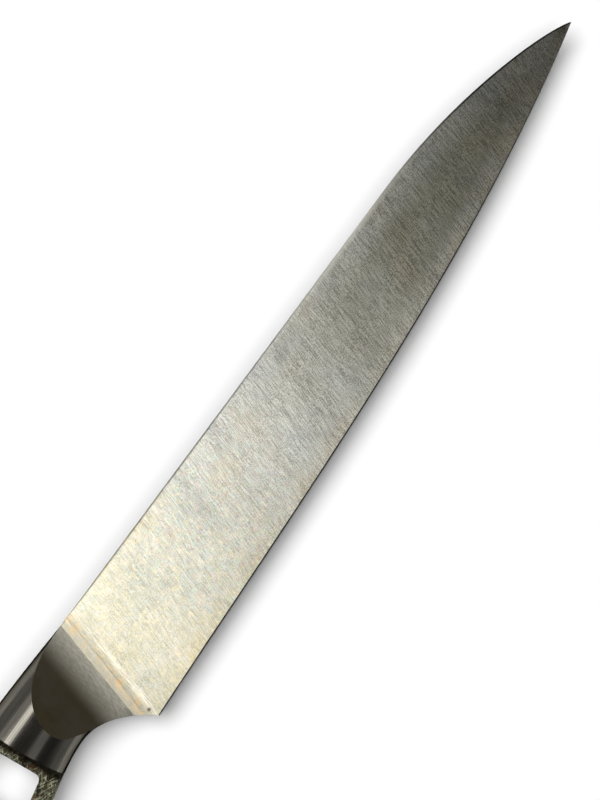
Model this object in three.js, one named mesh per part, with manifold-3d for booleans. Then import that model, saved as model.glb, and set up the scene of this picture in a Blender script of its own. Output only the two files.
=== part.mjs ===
// A slicing knife: a ground blade, a forged bolster with a hollow-ground scoop, a skeleton tang that shows its open
// window behind the bolster, and two handle scales held by three cutler's rivets.
//
// Units are millimetres. X runs from the butt to the tip, Y from the edge up to the spine and Z through the
// thickness, so the knife lies on its side. While the pieces are made, X is 0 at the heel of the blade, Y is 0 on the
// axis of the handle and Z is 0 in the middle of the blade. The finished group then moves so that its origin lies
// under the middle of the knife, on the surface that it rests on.

import * as THREE from "three";
import { mergeVertices } from "three/addons/utils/BufferGeometryUtils.js";
import Module from "manifold-3d";

// Blade, from the side
const BLADE_LENGTH = 200; // heel to tip
const HEEL_DROP = 22.8; // axis down to the edge at the heel
const TIP_DROP = 5.6; // axis down to the tip
const SPINE_RISE = 10.25; // axis up to the spine at the bolster
const SPINE_END_RISE = 7.95; // axis up to the spine where it starts to fall to the tip
const SPINE_FALL = 61; // length of that fall
const SPINE_FALL_LEAD = 31; // how far the fall keeps to the straight spine
const SPINE_TIP_LEAD = 5; // how far it keeps to its last slope
const SPINE_TIP_SLOPE = 42; // degrees, at the tip
const EDGE_HEEL_LEAD = 60; // how far the edge keeps to its first slope
const EDGE_HEEL_SLOPE = 2.4; // degrees, at the heel
const EDGE_TIP_LEAD = 68; // how far it keeps to its last slope
const EDGE_TIP_SLOPE = 13; // degrees, at the tip

// Blade, in section
const SPINE_THICKNESS = 2.5; // at the bolster
const SPINE_TIP_THICKNESS = 1.1; // at the tip
const EDGE_THICKNESS = 0.4; // behind the sharpened bevel
const BEVEL_HEIGHT = 0.4; // of the sharpened bevel
const SPINE_EASE = 0.4; // radius of the spine's corners

// Plunge line, where the blade's flank ends and the bolster's scoop begins
const PLUNGE_REACH = 4.1; // heel forward to the line's top, on the spine
const PLUNGE_LEAN = 15.5; // degrees that its foot lies back
const SEAM = 0.1; // joint between two pieces that are welded edge to edge

// Bolster
const BOLSTER_SETBACK = 26.7; // heel back to the bolster's rear face, on the axis
const REAR_LEAN = 5.4; // degrees that the top of the rear face lies back
const BARREL_THICKNESS = 16; // across the oval barrel
const BACK_FULLNESS = 1.9; // exponent of the oval's upper half: 2 is an ellipse, more is squarer
const BELLY_FULLNESS = 2.2; // exponent of its lower half
const CHOIL_FULLNESS = 4.5; // exponent of the lower half at the choil's foot, an upright wall
const NECK_SETBACK = 16; // heel back to the neck, the lowest place of the belly side
const NECK_DROP = 10.9; // axis down to the neck
const CHOIL_HEEL_LEAD = 6.6; // how far the choil keeps to its slope at the heel
const CHOIL_HEEL_SLOPE = 61; // degrees
const CHOIL_NECK_LEAD = 7; // how far it keeps level with the neck
const PLUNGE_RADIUS = 13.6; // the rounded foot of the scoop, along the plunge line
const SCOOP_START = 14; // degrees, the scoop's slope where that round ends
const SCOOP_RADIUS = 60; // of the wheel that hollows the scoop

// Stubs that seat the blade and the tang in the bolster
const CLEARANCE = 0.15; // round each stub and rivet
const BLADE_STUB_LENGTH = 9;
const BLADE_STUB_RISE = 8; // axis up to its top
const BLADE_STUB_DROP = 3; // axis down to its foot
const STUB_WALL = 0.2; // least wall of the bolster over the blade's stub
const TANG_STUB_LENGTH = 8;
const TANG_STUB_HEIGHT = 12;
const TANG_STUB_SHOULDER = 0.4; // how far each face of the tang stands over its stub

// Handle, from the side
const HANDLE_LENGTH = 131; // heel back to the butt
const CROWN_SETBACK = 60; // heel back to the highest place of the back
const CROWN_RISE = 12;
const CROWN_LEAD = 25; // how far the back keeps level with its crown, both ways
const BACK_LEAD = 16; // how far the back keeps to its slope at the bolster
const BACK_SLOPE = 4.3; // degrees, at the bolster
const SHOULDER_REACH = 19; // butt forward to the shoulder, where the back turns down
const SHOULDER_RISE = 7.5;
const SHOULDER_SLOPE = 14; // degrees
const SHOULDER_LEAD = 10;
const BUTT_DROP = 8; // axis down to the butt's rearmost point
const BUTT_LEAD = 6; // how far the butt keeps upright, both ways
const HOOK_REACH = 5; // butt forward to the lowest point of the hook
const HOOK_DROP = 20;
const HOOK_LEAD = 5; // how far the hook keeps level behind its lowest point
const HOOK_INNER_LEAD = 8; // and in front of it
const WAIST_REACH = 35; // butt forward to the waist between hook and swell
const WAIST_DROP = 13.8;
const WAIST_LEAD = 13;
const SWELL_SETBACK = 52; // heel back to the palm swell
const SWELL_DROP = 16.2;
const SWELL_LEAD = 14;
const NECK_LEAD = 11; // how far the belly keeps level behind the neck

// Tang
const TANG_THICKNESS = 3.6;
const RAIL = 5.4; // width of the frame beside its windows
const CROSS_WALL = 3.5; // between the bolster and the open window
const WINDOW_LENGTH = 12; // of the open window
const WINDOW_CORNER = 1.2; // radius
const RIVET_BAR = 12; // length of the cross bar that carries a rivet

// Scales
const SCALE_LIP = 1.8; // from the open window back to the scales
const SCALE_SIDE = 6.2; // thickness of one scale
const EDGE_ROUND = 3.6; // radius of the scales' long edges
const FRONT_ROUND = 5; // radius of their front ends

// Rivets
const HEAD_RADIUS = 4;
const HEAD_HEIGHT = 2;
const SLEEVE_RADIUS = 2.9;
const PIN_RADIUS = 2;
const SLEEVE_SHORT = 1.5; // how far a sleeve ends below the other head
const PIN_SHORT = 0.5; // how far a pin ends above the floor of its sleeve
const RIVET_FRONT_MARGIN = 13; // front of the scales to the front rivet
const RIVET_REAR_MARGIN = 20; // butt to the rear rivet

// Fineness of the faceted surfaces
const BLADE_STATIONS = 40;
const TIP_CROWDING = 1.7; // how much closer the stations lie towards the tip, where the outline turns fastest
const BARREL_STATIONS = 18;
const BARREL_SIDES = 48;
const ARC_STEPS = 8;
const OUTLINE_STEPS = 9;
const ROUND_STEPS = 4;
const RIVET_SIDES = 28;

// How far a cutting solid runs past what it cuts
const OVERRUN = 20;

// Points closer than this are one point
const SAME_POINT = 1e-4;

// How finely a curve is searched for a place along it, as a share of the curve
const SEARCH_END = 1e-9;

// Sizes that follow from those above
const TANG_HALF = TANG_THICKNESS / 2;
const HANDLE_HALF = TANG_HALF + SCALE_SIDE;
const BARREL_HALF = BARREL_THICKNESS / 2;
const WINDOW_FRONT = BOLSTER_SETBACK + CROSS_WALL;
const WINDOW_REAR = WINDOW_FRONT + WINDOW_LENGTH;
const SCALE_SETBACK = WINDOW_REAR + SCALE_LIP;
const RIVET_FRONT = SCALE_SETBACK + RIVET_FRONT_MARGIN;
const RIVET_REAR = HANDLE_LENGTH - RIVET_REAR_MARGIN;
const RIVET_MIDDLE = (RIVET_FRONT + RIVET_REAR) / 2;

const wasm = await Module();
wasm.setup();

// Curves of the side view

/** The point that lies a given way from another, at an angle in degrees from +X. */
function along(point, angle, distance) {
  const turn = THREE.MathUtils.degToRad(angle);
  const step = new THREE.Vector2(Math.cos(turn), Math.sin(turn));
  return point.clone().addScaledVector(step, distance);
}

/** A curve that leaves one point and reaches another in the directions of its two handles. */
function sweep(from, fromHandle, toHandle, to) {
  return new THREE.CubicBezierCurve(from, fromHandle, toHandle, to);
}

/** The height of a curve at a place along X, or at its nearer end beyond it. */
function heightAt(curve, x) {
  const rising = curve.v3.x > curve.v0.x;
  let low = 0;
  let high = 1;
  while (high - low > SEARCH_END) {
    const middle = (low + high) / 2;
    const short = rising ? curve.getPoint(middle).x < x : curve.getPoint(middle).x > x;
    if (short) low = middle;
    else high = middle;
  }
  return curve.getPoint(low).y;
}

const heel = new THREE.Vector2(0, -HEEL_DROP);
const tip = new THREE.Vector2(BLADE_LENGTH, -TIP_DROP);
const plungeTop = new THREE.Vector2(PLUNGE_REACH, SPINE_RISE);
const spineEnd = new THREE.Vector2(BLADE_LENGTH - SPINE_FALL, SPINE_END_RISE);
const neck = new THREE.Vector2(-NECK_SETBACK, -NECK_DROP);
const crown = new THREE.Vector2(-CROWN_SETBACK, CROWN_RISE);
const shoulder = new THREE.Vector2(SHOULDER_REACH - HANDLE_LENGTH, SHOULDER_RISE);
const butt = new THREE.Vector2(-HANDLE_LENGTH, -BUTT_DROP);
const hook = new THREE.Vector2(HOOK_REACH - HANDLE_LENGTH, -HOOK_DROP);
const waist = new THREE.Vector2(WAIST_REACH - HANDLE_LENGTH, -WAIST_DROP);
const swell = new THREE.Vector2(-SWELL_SETBACK, -SWELL_DROP);

const spineSlope = THREE.MathUtils.radToDeg(spineEnd.clone().sub(plungeTop).angle());
const spineFall = sweep(
  spineEnd,
  along(spineEnd, spineSlope, SPINE_FALL_LEAD),
  along(tip, 180 - SPINE_TIP_SLOPE, SPINE_TIP_LEAD),
  tip,
);
const edgeCurve = sweep(
  heel,
  along(heel, EDGE_HEEL_SLOPE, EDGE_HEEL_LEAD),
  along(tip, 180 + EDGE_TIP_SLOPE, EDGE_TIP_LEAD),
  tip,
);
const choil = sweep(
  heel,
  along(heel, 180 - CHOIL_HEEL_SLOPE, CHOIL_HEEL_LEAD),
  along(neck, 0, CHOIL_NECK_LEAD),
  neck,
);
const backFront = sweep(
  plungeTop,
  along(plungeTop, 180 - BACK_SLOPE, BACK_LEAD),
  along(crown, 0, CROWN_LEAD),
  crown,
);
const backRear = sweep(
  crown,
  along(crown, 180, CROWN_LEAD),
  along(shoulder, SHOULDER_SLOPE, SHOULDER_LEAD),
  shoulder,
);
const buttUpper = sweep(
  shoulder,
  along(shoulder, 180 + SHOULDER_SLOPE, SHOULDER_LEAD),
  along(butt, 90, BUTT_LEAD),
  butt,
);
const buttLower = sweep(butt, along(butt, 270, BUTT_LEAD), along(hook, 180, HOOK_LEAD), hook);
const hookInner = sweep(hook, along(hook, 0, HOOK_INNER_LEAD), along(waist, 180, WAIST_LEAD), waist);
const bellyRear = sweep(waist, along(waist, 0, WAIST_LEAD), along(swell, 180, SWELL_LEAD), swell);
const bellyFront = sweep(swell, along(swell, 0, SWELL_LEAD), along(neck, 180, NECK_LEAD), neck);

/** Height of the spine of the blade. */
function spineAt(x) {
  if (x > spineEnd.x) return heightAt(spineFall, x);
  const along = (x - plungeTop.x) / (spineEnd.x - plungeTop.x);
  return THREE.MathUtils.lerp(plungeTop.y, spineEnd.y, Math.max(along, 0));
}

/** Height of the back of the bolster and the handle. */
function backAt(x) {
  return x > crown.x ? heightAt(backFront, x) : heightAt(backRear, x);
}

/** Height of the belly of the bolster and the handle. */
function bellyAt(x) {
  if (x > neck.x) return heightAt(choil, x);
  if (x > swell.x) return heightAt(bellyFront, x);
  return heightAt(bellyRear, x);
}

/** Place along X of the plunge line at a height. */
function plungeAt(y) {
  return PLUNGE_REACH - (SPINE_RISE - y) * Math.tan(THREE.MathUtils.degToRad(PLUNGE_LEAN));
}

/** Place along X of the bolster's rear face at a height. */
function rearAt(y) {
  return -BOLSTER_SETBACK - y * Math.tan(THREE.MathUtils.degToRad(REAR_LEAN));
}

/** Half of the thickness that the blade's spine has at a place along X. */
function spineHalfAt(x) {
  const share = THREE.MathUtils.clamp((x - PLUNGE_REACH) / (BLADE_LENGTH - PLUNGE_REACH), 0, 1);
  return THREE.MathUtils.lerp(SPINE_THICKNESS, SPINE_TIP_THICKNESS, share) / 2;
}

/** Half of the thickness between the blade's flanks at a point, a flat wedge from spine to bevel. */
function flankHalfAt(x, y) {
  const foot = heightAt(edgeCurve, x) + BEVEL_HEIGHT;
  const share = (y - foot) / (spineAt(x) - foot);
  return THREE.MathUtils.lerp(EDGE_THICKNESS / 2, spineHalfAt(x), share);
}

// Solids

/** A closed geometry as a solid that can be joined and cut. */
function solidOf(geometry) {
  const bare = geometry.clone();
  bare.deleteAttribute("normal");
  bare.deleteAttribute("uv");
  const merged = mergeVertices(bare, SAME_POINT);
  const vertProperties = merged.attributes.position.array;
  const triVerts = new Uint32Array(merged.index.array);
  return new wasm.Manifold(new wasm.Mesh({ numProp: 3, vertProperties, triVerts }));
}

/** A solid as a geometry. */
function geometryOf(solid) {
  const mesh = solid.getMesh();
  const geometry = new THREE.BufferGeometry();
  geometry.setAttribute("position", new THREE.BufferAttribute(mesh.vertProperties, 3));
  geometry.setIndex(new THREE.BufferAttribute(mesh.triVerts, 1));
  geometry.computeVertexNormals();
  return geometry;
}

/** A skin over a row of closed sections, each a ring of as many points, shut at both ends by a fan to an apex. */
function loft(rings, firstApex = middleOf(rings[0]), lastApex = middleOf(rings.at(-1))) {
  const count = rings[0].length;
  const points = [...rings.flat(), firstApex, lastApex];
  const first = points.length - 2;
  const last = points.length - 1;
  const faces = [];
  for (let side = 0; side < count; side++) {
    const next = (side + 1) % count;
    for (let row = 0; row < rings.length - 1; row++) {
      const here = row * count;
      const beyond = here + count;
      faces.push(here + side, here + next, beyond + next);
      faces.push(here + side, beyond + next, beyond + side);
    }
    const end = (rings.length - 1) * count;
    faces.push(first, next, side);
    faces.push(last, end + side, end + next);
  }
  return solidOf(new THREE.BufferGeometry().setFromPoints(points).setIndex(outward(points, faces)));
}

/** The middle of a ring of points. */
function middleOf(ring) {
  const sum = ring.reduce((total, point) => total.add(point), new THREE.Vector3());
  return sum.divideScalar(ring.length);
}

/** The same faces, turned so that they point out of the volume that they enclose. */
function outward(points, faces) {
  let volume = 0;
  for (let i = 0; i < faces.length; i += 3) {
    const [a, b, c] = [faces[i], faces[i + 1], faces[i + 2]].map((index) => points[index]);
    volume += a.dot(b.clone().cross(c));
  }
  return volume > 0 ? faces : faces.toReversed();
}

/** A side-view outline, extruded evenly to both sides of the middle plane. */
function plate(shape, thickness) {
  const settings = { depth: thickness, bevelEnabled: false, curveSegments: OUTLINE_STEPS };
  return solidOf(new THREE.ExtrudeGeometry(shape, settings).translate(0, 0, -thickness / 2));
}

/** An outline in the plane of X and Z, extruded along Y to reach past the whole knife. */
function crossPlate(points) {
  const reach = HEEL_DROP + HOOK_DROP + OVERRUN;
  const settings = { depth: 2 * reach, bevelEnabled: false };
  const geometry = new THREE.ExtrudeGeometry(new THREE.Shape(points), settings);
  return solidOf(geometry.rotateX(Math.PI / 2).translate(0, reach, 0));
}

/** A plate between two leaning lines, each a function that gives X at a height, from one height to another. */
function leaningPlate(frontLine, rearLine, top, foot, thickness) {
  const corners = [
    new THREE.Vector2(frontLine(top), top),
    new THREE.Vector2(rearLine(top), top),
    new THREE.Vector2(rearLine(foot), foot),
    new THREE.Vector2(frontLine(foot), foot),
  ];
  return plate(new THREE.Shape(corners), thickness);
}

/** A cylinder along Z through a point of the side view, from one height to another. */
function roundBar(centre, radius, low, high) {
  const geometry = new THREE.CylinderGeometry(radius, radius, high - low, RIVET_SIDES);
  return solidOf(geometry.rotateX(Math.PI / 2).translate(centre.x, centre.y, (low + high) / 2));
}

const TOP = CROWN_RISE + SPINE_RISE + OVERRUN;
const FOOT = -(HEEL_DROP + HOOK_DROP + OVERRUN);
const WIDE = BARREL_THICKNESS + 2 * HANDLE_HALF + 2 * OVERRUN;

// Blade

/** The blade's section at a place along X: eased spine, flat flanks and the sharpened bevel. */
function bladeSection(x) {
  const spine = spineAt(x);
  const edge = heightAt(edgeCurve, x);
  const tall = spine - edge;
  const half = Math.min(spineHalfAt(x), tall / 2);
  const ease = Math.min(SPINE_EASE, half / 2, tall / 4);
  const bevel = Math.min(BEVEL_HEIGHT, tall / 4);
  const shoulderHalf = Math.min(EDGE_THICKNESS / 2, half / 2);
  const side = [];
  for (let step = 0; step <= ROUND_STEPS; step++) {
    const turn = ((step / ROUND_STEPS) * Math.PI) / 2;
    side.push([spine - ease * (1 - Math.cos(turn)), half - ease * (1 - Math.sin(turn))]);
  }
  side.push([edge + bevel, shoulderHalf]);
  const near = side.map(([y, z]) => new THREE.Vector3(x, y, z));
  const far = side.map(([y, z]) => new THREE.Vector3(x, y, -z)).reverse();
  return [...near, new THREE.Vector3(x, edge, 0), ...far];
}

/** The cut behind the heel, along the choil. */
function choilCut() {
  const outline = new THREE.Shape(choil.getPoints(2 * OUTLINE_STEPS));
  outline.lineTo(neck.x - OVERRUN, neck.y);
  outline.lineTo(neck.x - OVERRUN, FOOT);
  outline.lineTo(heel.x, FOOT);
  return plate(outline, WIDE);
}

/** The stub of the blade, or the slot for it when it is grown by a clearance. */
function bladeStub(grow) {
  const half = flankHalfAt(plungeAt(-BLADE_STUB_DROP), -BLADE_STUB_DROP) - STUB_WALL - CLEARANCE;
  return leaningPlate(
    (y) => plungeAt(y) + SEAM + grow,
    (y) => plungeAt(y) - BLADE_STUB_LENGTH - grow,
    BLADE_STUB_RISE + grow,
    -BLADE_STUB_DROP - grow,
    2 * (half + grow),
  );
}

function makeBlade() {
  const rings = [];
  const start = -NECK_SETBACK;
  for (let station = 0; station < BLADE_STATIONS; station++) {
    const share = station / BLADE_STATIONS;
    rings.push(bladeSection(THREE.MathUtils.lerp(start, BLADE_LENGTH, 1 - (1 - share) ** TIP_CROWDING)));
  }
  const point = new THREE.Vector3(tip.x, tip.y, 0);
  const inFront = leaningPlate(
    () => BLADE_LENGTH + OVERRUN,
    (y) => plungeAt(y) + SEAM / 2,
    TOP,
    FOOT,
    WIDE,
  );
  return loft(rings, undefined, point).intersect(inFront).subtract(choilCut()).add(bladeStub(0));
}

// Bolster

/** The oval of the barrel at a place along X, squarer below where it turns into the choil. */
function barrelSection(x) {
  const up = backAt(x);
  const down = bellyAt(x);
  const toChoil = THREE.MathUtils.smoothstep(x, -NECK_SETBACK, plungeAt(-HEEL_DROP));
  const belly = THREE.MathUtils.lerp(BELLY_FULLNESS, CHOIL_FULLNESS, toChoil);
  const ring = [];
  for (let side = 0; side < BARREL_SIDES; side++) {
    const turn = (side / BARREL_SIDES) * 2 * Math.PI;
    const rise = Math.cos(turn);
    const out = Math.sin(turn);
    const power = 2 / (rise > 0 ? BACK_FULLNESS : belly);
    const y = (rise > 0 ? up : -down) * Math.sign(rise) * Math.abs(rise) ** power;
    const z = BARREL_HALF * Math.sign(out) * Math.abs(out) ** power;
    ring.push(new THREE.Vector3(x, y, z));
  }
  return ring;
}

/** The scoop's rise over the flank, as points (distance behind the plunge line, height), up past the barrel. */
function scoopProfile() {
  const start = THREE.MathUtils.degToRad(SCOOP_START);
  const points = [];
  for (let step = 0; step <= ARC_STEPS; step++) {
    const slope = (step / ARC_STEPS) * start;
    points.push([PLUNGE_RADIUS * Math.sin(slope), PLUNGE_RADIUS * (1 - Math.cos(slope))]);
  }
  const [roundEnd, roundTop] = points.at(-1);
  const topSlope = Math.acos(Math.cos(start) - BARREL_HALF / SCOOP_RADIUS);
  for (let step = 1; step <= 2 * ARC_STEPS; step++) {
    const slope = THREE.MathUtils.lerp(start, topSlope, step / (2 * ARC_STEPS));
    points.push([
      roundEnd + SCOOP_RADIUS * (Math.sin(slope) - Math.sin(start)),
      roundTop + SCOOP_RADIUS * (Math.cos(start) - Math.cos(slope)),
    ]);
  }
  return points;
}

/** The body that both scoops leave of the barrel: it runs in the flanks' planes along the plunge line. */
function scoopBody() {
  const profile = scoopProfile();
  const [farBehind, farUp] = profile.at(-1);
  const line = [[-OVERRUN, 0], ...profile, [farBehind, farUp + OVERRUN]];
  line.push([BOLSTER_SETBACK + PLUNGE_REACH + OVERRUN, farUp + OVERRUN]);
  const slopeOfFlank = flankHalfAt(PLUNGE_REACH, SPINE_RISE) - flankHalfAt(plungeAt(0), 0);
  const rings = [TOP, FOOT].map((y) => {
    const flank = flankHalfAt(plungeAt(0), 0) + (slopeOfFlank * y) / SPINE_RISE;
    const near = line.map(([behind, up]) => new THREE.Vector3(plungeAt(y) - behind, y, flank + up));
    const far = near.map((point) => new THREE.Vector3(point.x, point.y, -point.z)).reverse();
    return [...near, ...far];
  });
  return loft(rings);
}

/** The stub of the tang, or the slot for it when it is grown by a clearance. */
function tangStub(grow) {
  return leaningPlate(
    (y) => rearAt(y) + TANG_STUB_LENGTH + grow,
    (y) => rearAt(y) - SEAM - grow,
    TANG_STUB_HEIGHT / 2 + grow,
    -TANG_STUB_HEIGHT / 2 - grow,
    TANG_THICKNESS - 2 * TANG_STUB_SHOULDER + 2 * grow,
  );
}

function makeBolster() {
  const front = PLUNGE_REACH;
  const rear = rearAt(CROWN_RISE) - SEAM;
  const rings = [];
  for (let station = 0; station <= BARREL_STATIONS; station++) {
    rings.push(barrelSection(THREE.MathUtils.lerp(front, rear, station / BARREL_STATIONS)));
  }
  const between = leaningPlate((y) => plungeAt(y) - SEAM / 2, (y) => rearAt(y) + SEAM / 2, TOP, FOOT, WIDE);
  const body = loft(rings).intersect(scoopBody()).intersect(between);
  return body.subtract(bladeStub(CLEARANCE)).subtract(tangStub(CLEARANCE));
}

// Tang

/** The outline that the tang and both scales share, which starts upright inside the bolster. */
function handleOutline() {
  const outline = new THREE.Shape();
  outline.moveTo(plungeTop.x, plungeTop.y);
  const round = [backFront, backRear, buttUpper, buttLower, hookInner, bellyRear, bellyFront];
  for (const { v1, v2, v3 } of round) {
    outline.bezierCurveTo(v1.x, v1.y, v2.x, v2.y, v3.x, v3.y);
  }
  outline.lineTo(plungeTop.x, neck.y);
  return outline;
}

/** A window between two leaning lines that keeps a rail's width from the outline, with round corners. */
function windowCut(frontLine, rearLine) {
  const front = frontLine(0);
  const rear = rearLine(0);
  const ceiling = [];
  const floor = [];
  for (let step = 0; step <= ROUND_STEPS; step++) {
    const x = THREE.MathUtils.lerp(rear, front, step / ROUND_STEPS);
    const top = backAt(x) - RAIL;
    const foot = bellyAt(x) + RAIL;
    const lean = (y) => THREE.MathUtils.lerp(rearLine(y) - rear, frontLine(y) - front, step / ROUND_STEPS);
    ceiling.push(new THREE.Vector2(x + lean(top), top));
    floor.unshift(new THREE.Vector2(x + lean(foot), foot));
  }
  const corners = [ceiling[0], ceiling.at(-1), floor[0], floor.at(-1)];
  return plate(roundedShape([...ceiling, ...floor], corners), WIDE);
}

/** A closed outline through points, rounded at those that are corners. */
function roundedShape(points, corners) {
  const shape = new THREE.Shape();
  points.forEach((point, index) => {
    const before = points.at(index - 1);
    const after = points[(index + 1) % points.length];
    if (!corners.includes(point)) {
      shape.lineTo(point.x, point.y);
      return;
    }
    const enter = point.clone().add(before.clone().sub(point).setLength(WINDOW_CORNER));
    const leave = point.clone().add(after.clone().sub(point).setLength(WINDOW_CORNER));
    if (index === 0) shape.moveTo(enter.x, enter.y);
    else shape.lineTo(enter.x, enter.y);
    shape.quadraticCurveTo(point.x, point.y, leave.x, leave.y);
  });
  return shape;
}

const rivets = Object.entries({ front: RIVET_FRONT, middle: RIVET_MIDDLE, rear: RIVET_REAR }).map(
  ([place, setback]) => ({
    place,
    centre: new THREE.Vector2(-setback, (backAt(-setback) + bellyAt(-setback)) / 2),
  }),
);

/** The hole that every rivet's sleeve passes through. */
function rivetHole(rivet) {
  return roundBar(rivet.centre, SLEEVE_RADIUS + CLEARANCE, -WIDE, WIDE);
}

function makeTang() {
  const behind = leaningPlate(
    (y) => rearAt(y) - SEAM / 2,
    () => -HANDLE_LENGTH - OVERRUN,
    TOP,
    FOOT,
    WIDE,
  );
  let tang = plate(handleOutline(), TANG_THICKNESS).intersect(behind).add(tangStub(0));
  tang = tang.subtract(windowCut((y) => rearAt(y) - CROSS_WALL, () => -WINDOW_REAR));
  rivets.slice(1).forEach((rivet, index) => {
    const front = rivets[index].centre.x - RIVET_BAR / 2;
    const rear = rivet.centre.x + RIVET_BAR / 2;
    tang = tang.subtract(windowCut(() => front, () => rear));
  });
  for (const rivet of rivets) tang = tang.subtract(rivetHole(rivet));
  return tang;
}

// Scales

/** Both scales as one body, shaped together over the tang. */
function scaleBlank() {
  const settings = {
    depth: 2 * (HANDLE_HALF - EDGE_ROUND),
    bevelSize: EDGE_ROUND,
    bevelThickness: EDGE_ROUND,
    bevelOffset: -EDGE_ROUND,
    bevelSegments: ROUND_STEPS,
    curveSegments: OUTLINE_STEPS,
  };
  const geometry = new THREE.ExtrudeGeometry(handleOutline(), settings);
  return solidOf(geometry.translate(0, 0, EDGE_ROUND - HANDLE_HALF));
}

/** The space of one scale, side 1 above the tang and -1 below it, with its rounded front end. */
function scaleSpace(side) {
  const roundTop = HANDLE_HALF - FRONT_ROUND;
  const profile = [[-SCALE_SETBACK, TANG_HALF]];
  for (let step = 0; step <= ARC_STEPS; step++) {
    const turn = ((step / ARC_STEPS) * Math.PI) / 2;
    profile.push([
      -SCALE_SETBACK - FRONT_ROUND * (1 - Math.cos(turn)),
      roundTop + FRONT_ROUND * Math.sin(turn),
    ]);
  }
  profile.push([-SCALE_SETBACK - FRONT_ROUND, HANDLE_HALF + OVERRUN]);
  profile.push([-HANDLE_LENGTH - OVERRUN, HANDLE_HALF + OVERRUN]);
  profile.push([-HANDLE_LENGTH - OVERRUN, TANG_HALF]);
  return crossPlate(profile.map(([x, z]) => new THREE.Vector2(x, side * z)));
}

function makeScale(side) {
  let scale = scaleBlank().intersect(scaleSpace(side));
  const seat = side * (HANDLE_HALF - HEAD_HEIGHT);
  const past = side * (HANDLE_HALF + OVERRUN);
  for (const rivet of rivets) {
    const recess = roundBar(rivet.centre, HEAD_RADIUS + CLEARANCE, Math.min(seat, past), Math.max(seat, past));
    scale = scale.subtract(recess).subtract(rivetHole(rivet));
  }
  return scale;
}

// Rivets

/** A turned piece whose profile is given as points (radius, height) that start and end on its axis. */
function turned(rivet, profile) {
  const points = profile.map(([radius, height]) => new THREE.Vector2(radius, height));
  const geometry = new THREE.LatheGeometry(points, RIVET_SIDES);
  return solidOf(geometry.rotateX(Math.PI / 2).translate(rivet.centre.x, rivet.centre.y, 0));
}

const SEAT = HANDLE_HALF - HEAD_HEIGHT;
const SLEEVE_FLOOR = -SEAT - CLEARANCE;

/** The half with the solid pin, whose head lies in the upper scale. */
function makePin(rivet) {
  const end = SLEEVE_FLOOR + PIN_SHORT;
  return turned(rivet, [
    [0, end],
    [PIN_RADIUS, end],
    [PIN_RADIUS, SEAT],
    [HEAD_RADIUS, SEAT],
    [HEAD_RADIUS, HANDLE_HALF],
    [0, HANDLE_HALF],
  ]);
}

/** The half with the sleeve that takes the pin, whose head lies in the lower scale. */
function makeSleeve(rivet) {
  const end = SEAT - SLEEVE_SHORT;
  const bore = PIN_RADIUS + CLEARANCE;
  return turned(rivet, [
    [0, -HANDLE_HALF],
    [HEAD_RADIUS, -HANDLE_HALF],
    [HEAD_RADIUS, -SEAT],
    [SLEEVE_RADIUS, -SEAT],
    [SLEEVE_RADIUS, end],
    [bore, end],
    [bore, SLEEVE_FLOOR],
    [0, SLEEVE_FLOOR],
  ]);
}

// The knife

const groundSteel = { color: 0xb4b0a2, roughness: 0.38, metalness: 1 };
const polishedSteel = { color: 0x8a877d, roughness: 0.16, metalness: 1 };
const coarseSteel = { color: 0x7f7f6d, roughness: 0.6, metalness: 1 };
const rivetSteel = { color: 0xb8b4a6, roughness: 0.25, metalness: 1 };
const oiledWalnut = { color: 0x4a2f1e, roughness: 0.5, metalness: 0 };

const knife = new THREE.Group();

function addPiece(name, solid, finish) {
  const mesh = new THREE.Mesh(geometryOf(solid), new THREE.MeshStandardMaterial(finish));
  mesh.name = name;
  knife.add(mesh);
}

addPiece("blade", makeBlade(), groundSteel);
addPiece("bolster", makeBolster(), polishedSteel);
addPiece("tang", makeTang(), coarseSteel);
addPiece("scale_upper", makeScale(1), oiledWalnut);
addPiece("scale_lower", makeScale(-1), oiledWalnut);
for (const rivet of rivets) {
  addPiece(`rivet_${rivet.place}_pin`, makePin(rivet), rivetSteel);
  addPiece(`rivet_${rivet.place}_sleeve`, makeSleeve(rivet), rivetSteel);
}

const extent = new THREE.Box3().setFromObject(knife);
const middle = extent.getCenter(new THREE.Vector3());
knife.position.set(-middle.x, -middle.y, -extent.min.z);

export default knife;
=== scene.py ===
"""A slicing knife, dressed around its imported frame.

The pieces follow the driving sizes of the solids that they stand for. While a piece is made, its points are
in millimetres: x from the heel of the blade towards the tip, y from the axis of the handle towards the spine
and z from the middle plane of the knife. Datum then puts them where the frame has them, in metres.
"""

import logging
import math
from collections.abc import Callable, Iterator, Sequence
from contextlib import contextmanager
from dataclasses import dataclass, field
from enum import Enum
from functools import partial, reduce
from typing import Any

import bmesh
import bpy
import numpy as np
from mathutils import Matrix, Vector, noise


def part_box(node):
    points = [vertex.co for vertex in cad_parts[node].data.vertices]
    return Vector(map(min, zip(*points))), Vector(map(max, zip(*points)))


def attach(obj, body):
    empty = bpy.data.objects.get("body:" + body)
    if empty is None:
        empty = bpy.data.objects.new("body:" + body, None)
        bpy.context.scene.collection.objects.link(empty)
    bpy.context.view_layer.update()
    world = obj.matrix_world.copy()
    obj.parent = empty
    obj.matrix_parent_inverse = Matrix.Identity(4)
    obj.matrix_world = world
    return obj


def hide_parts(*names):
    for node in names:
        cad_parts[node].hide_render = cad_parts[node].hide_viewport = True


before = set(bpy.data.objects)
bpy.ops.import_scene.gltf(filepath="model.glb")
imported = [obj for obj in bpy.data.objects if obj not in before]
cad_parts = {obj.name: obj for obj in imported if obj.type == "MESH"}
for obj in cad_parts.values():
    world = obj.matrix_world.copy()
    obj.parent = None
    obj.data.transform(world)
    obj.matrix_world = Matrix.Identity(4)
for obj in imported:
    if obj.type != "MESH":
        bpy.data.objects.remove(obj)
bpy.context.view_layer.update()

log = logging.getLogger("knife")

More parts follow.
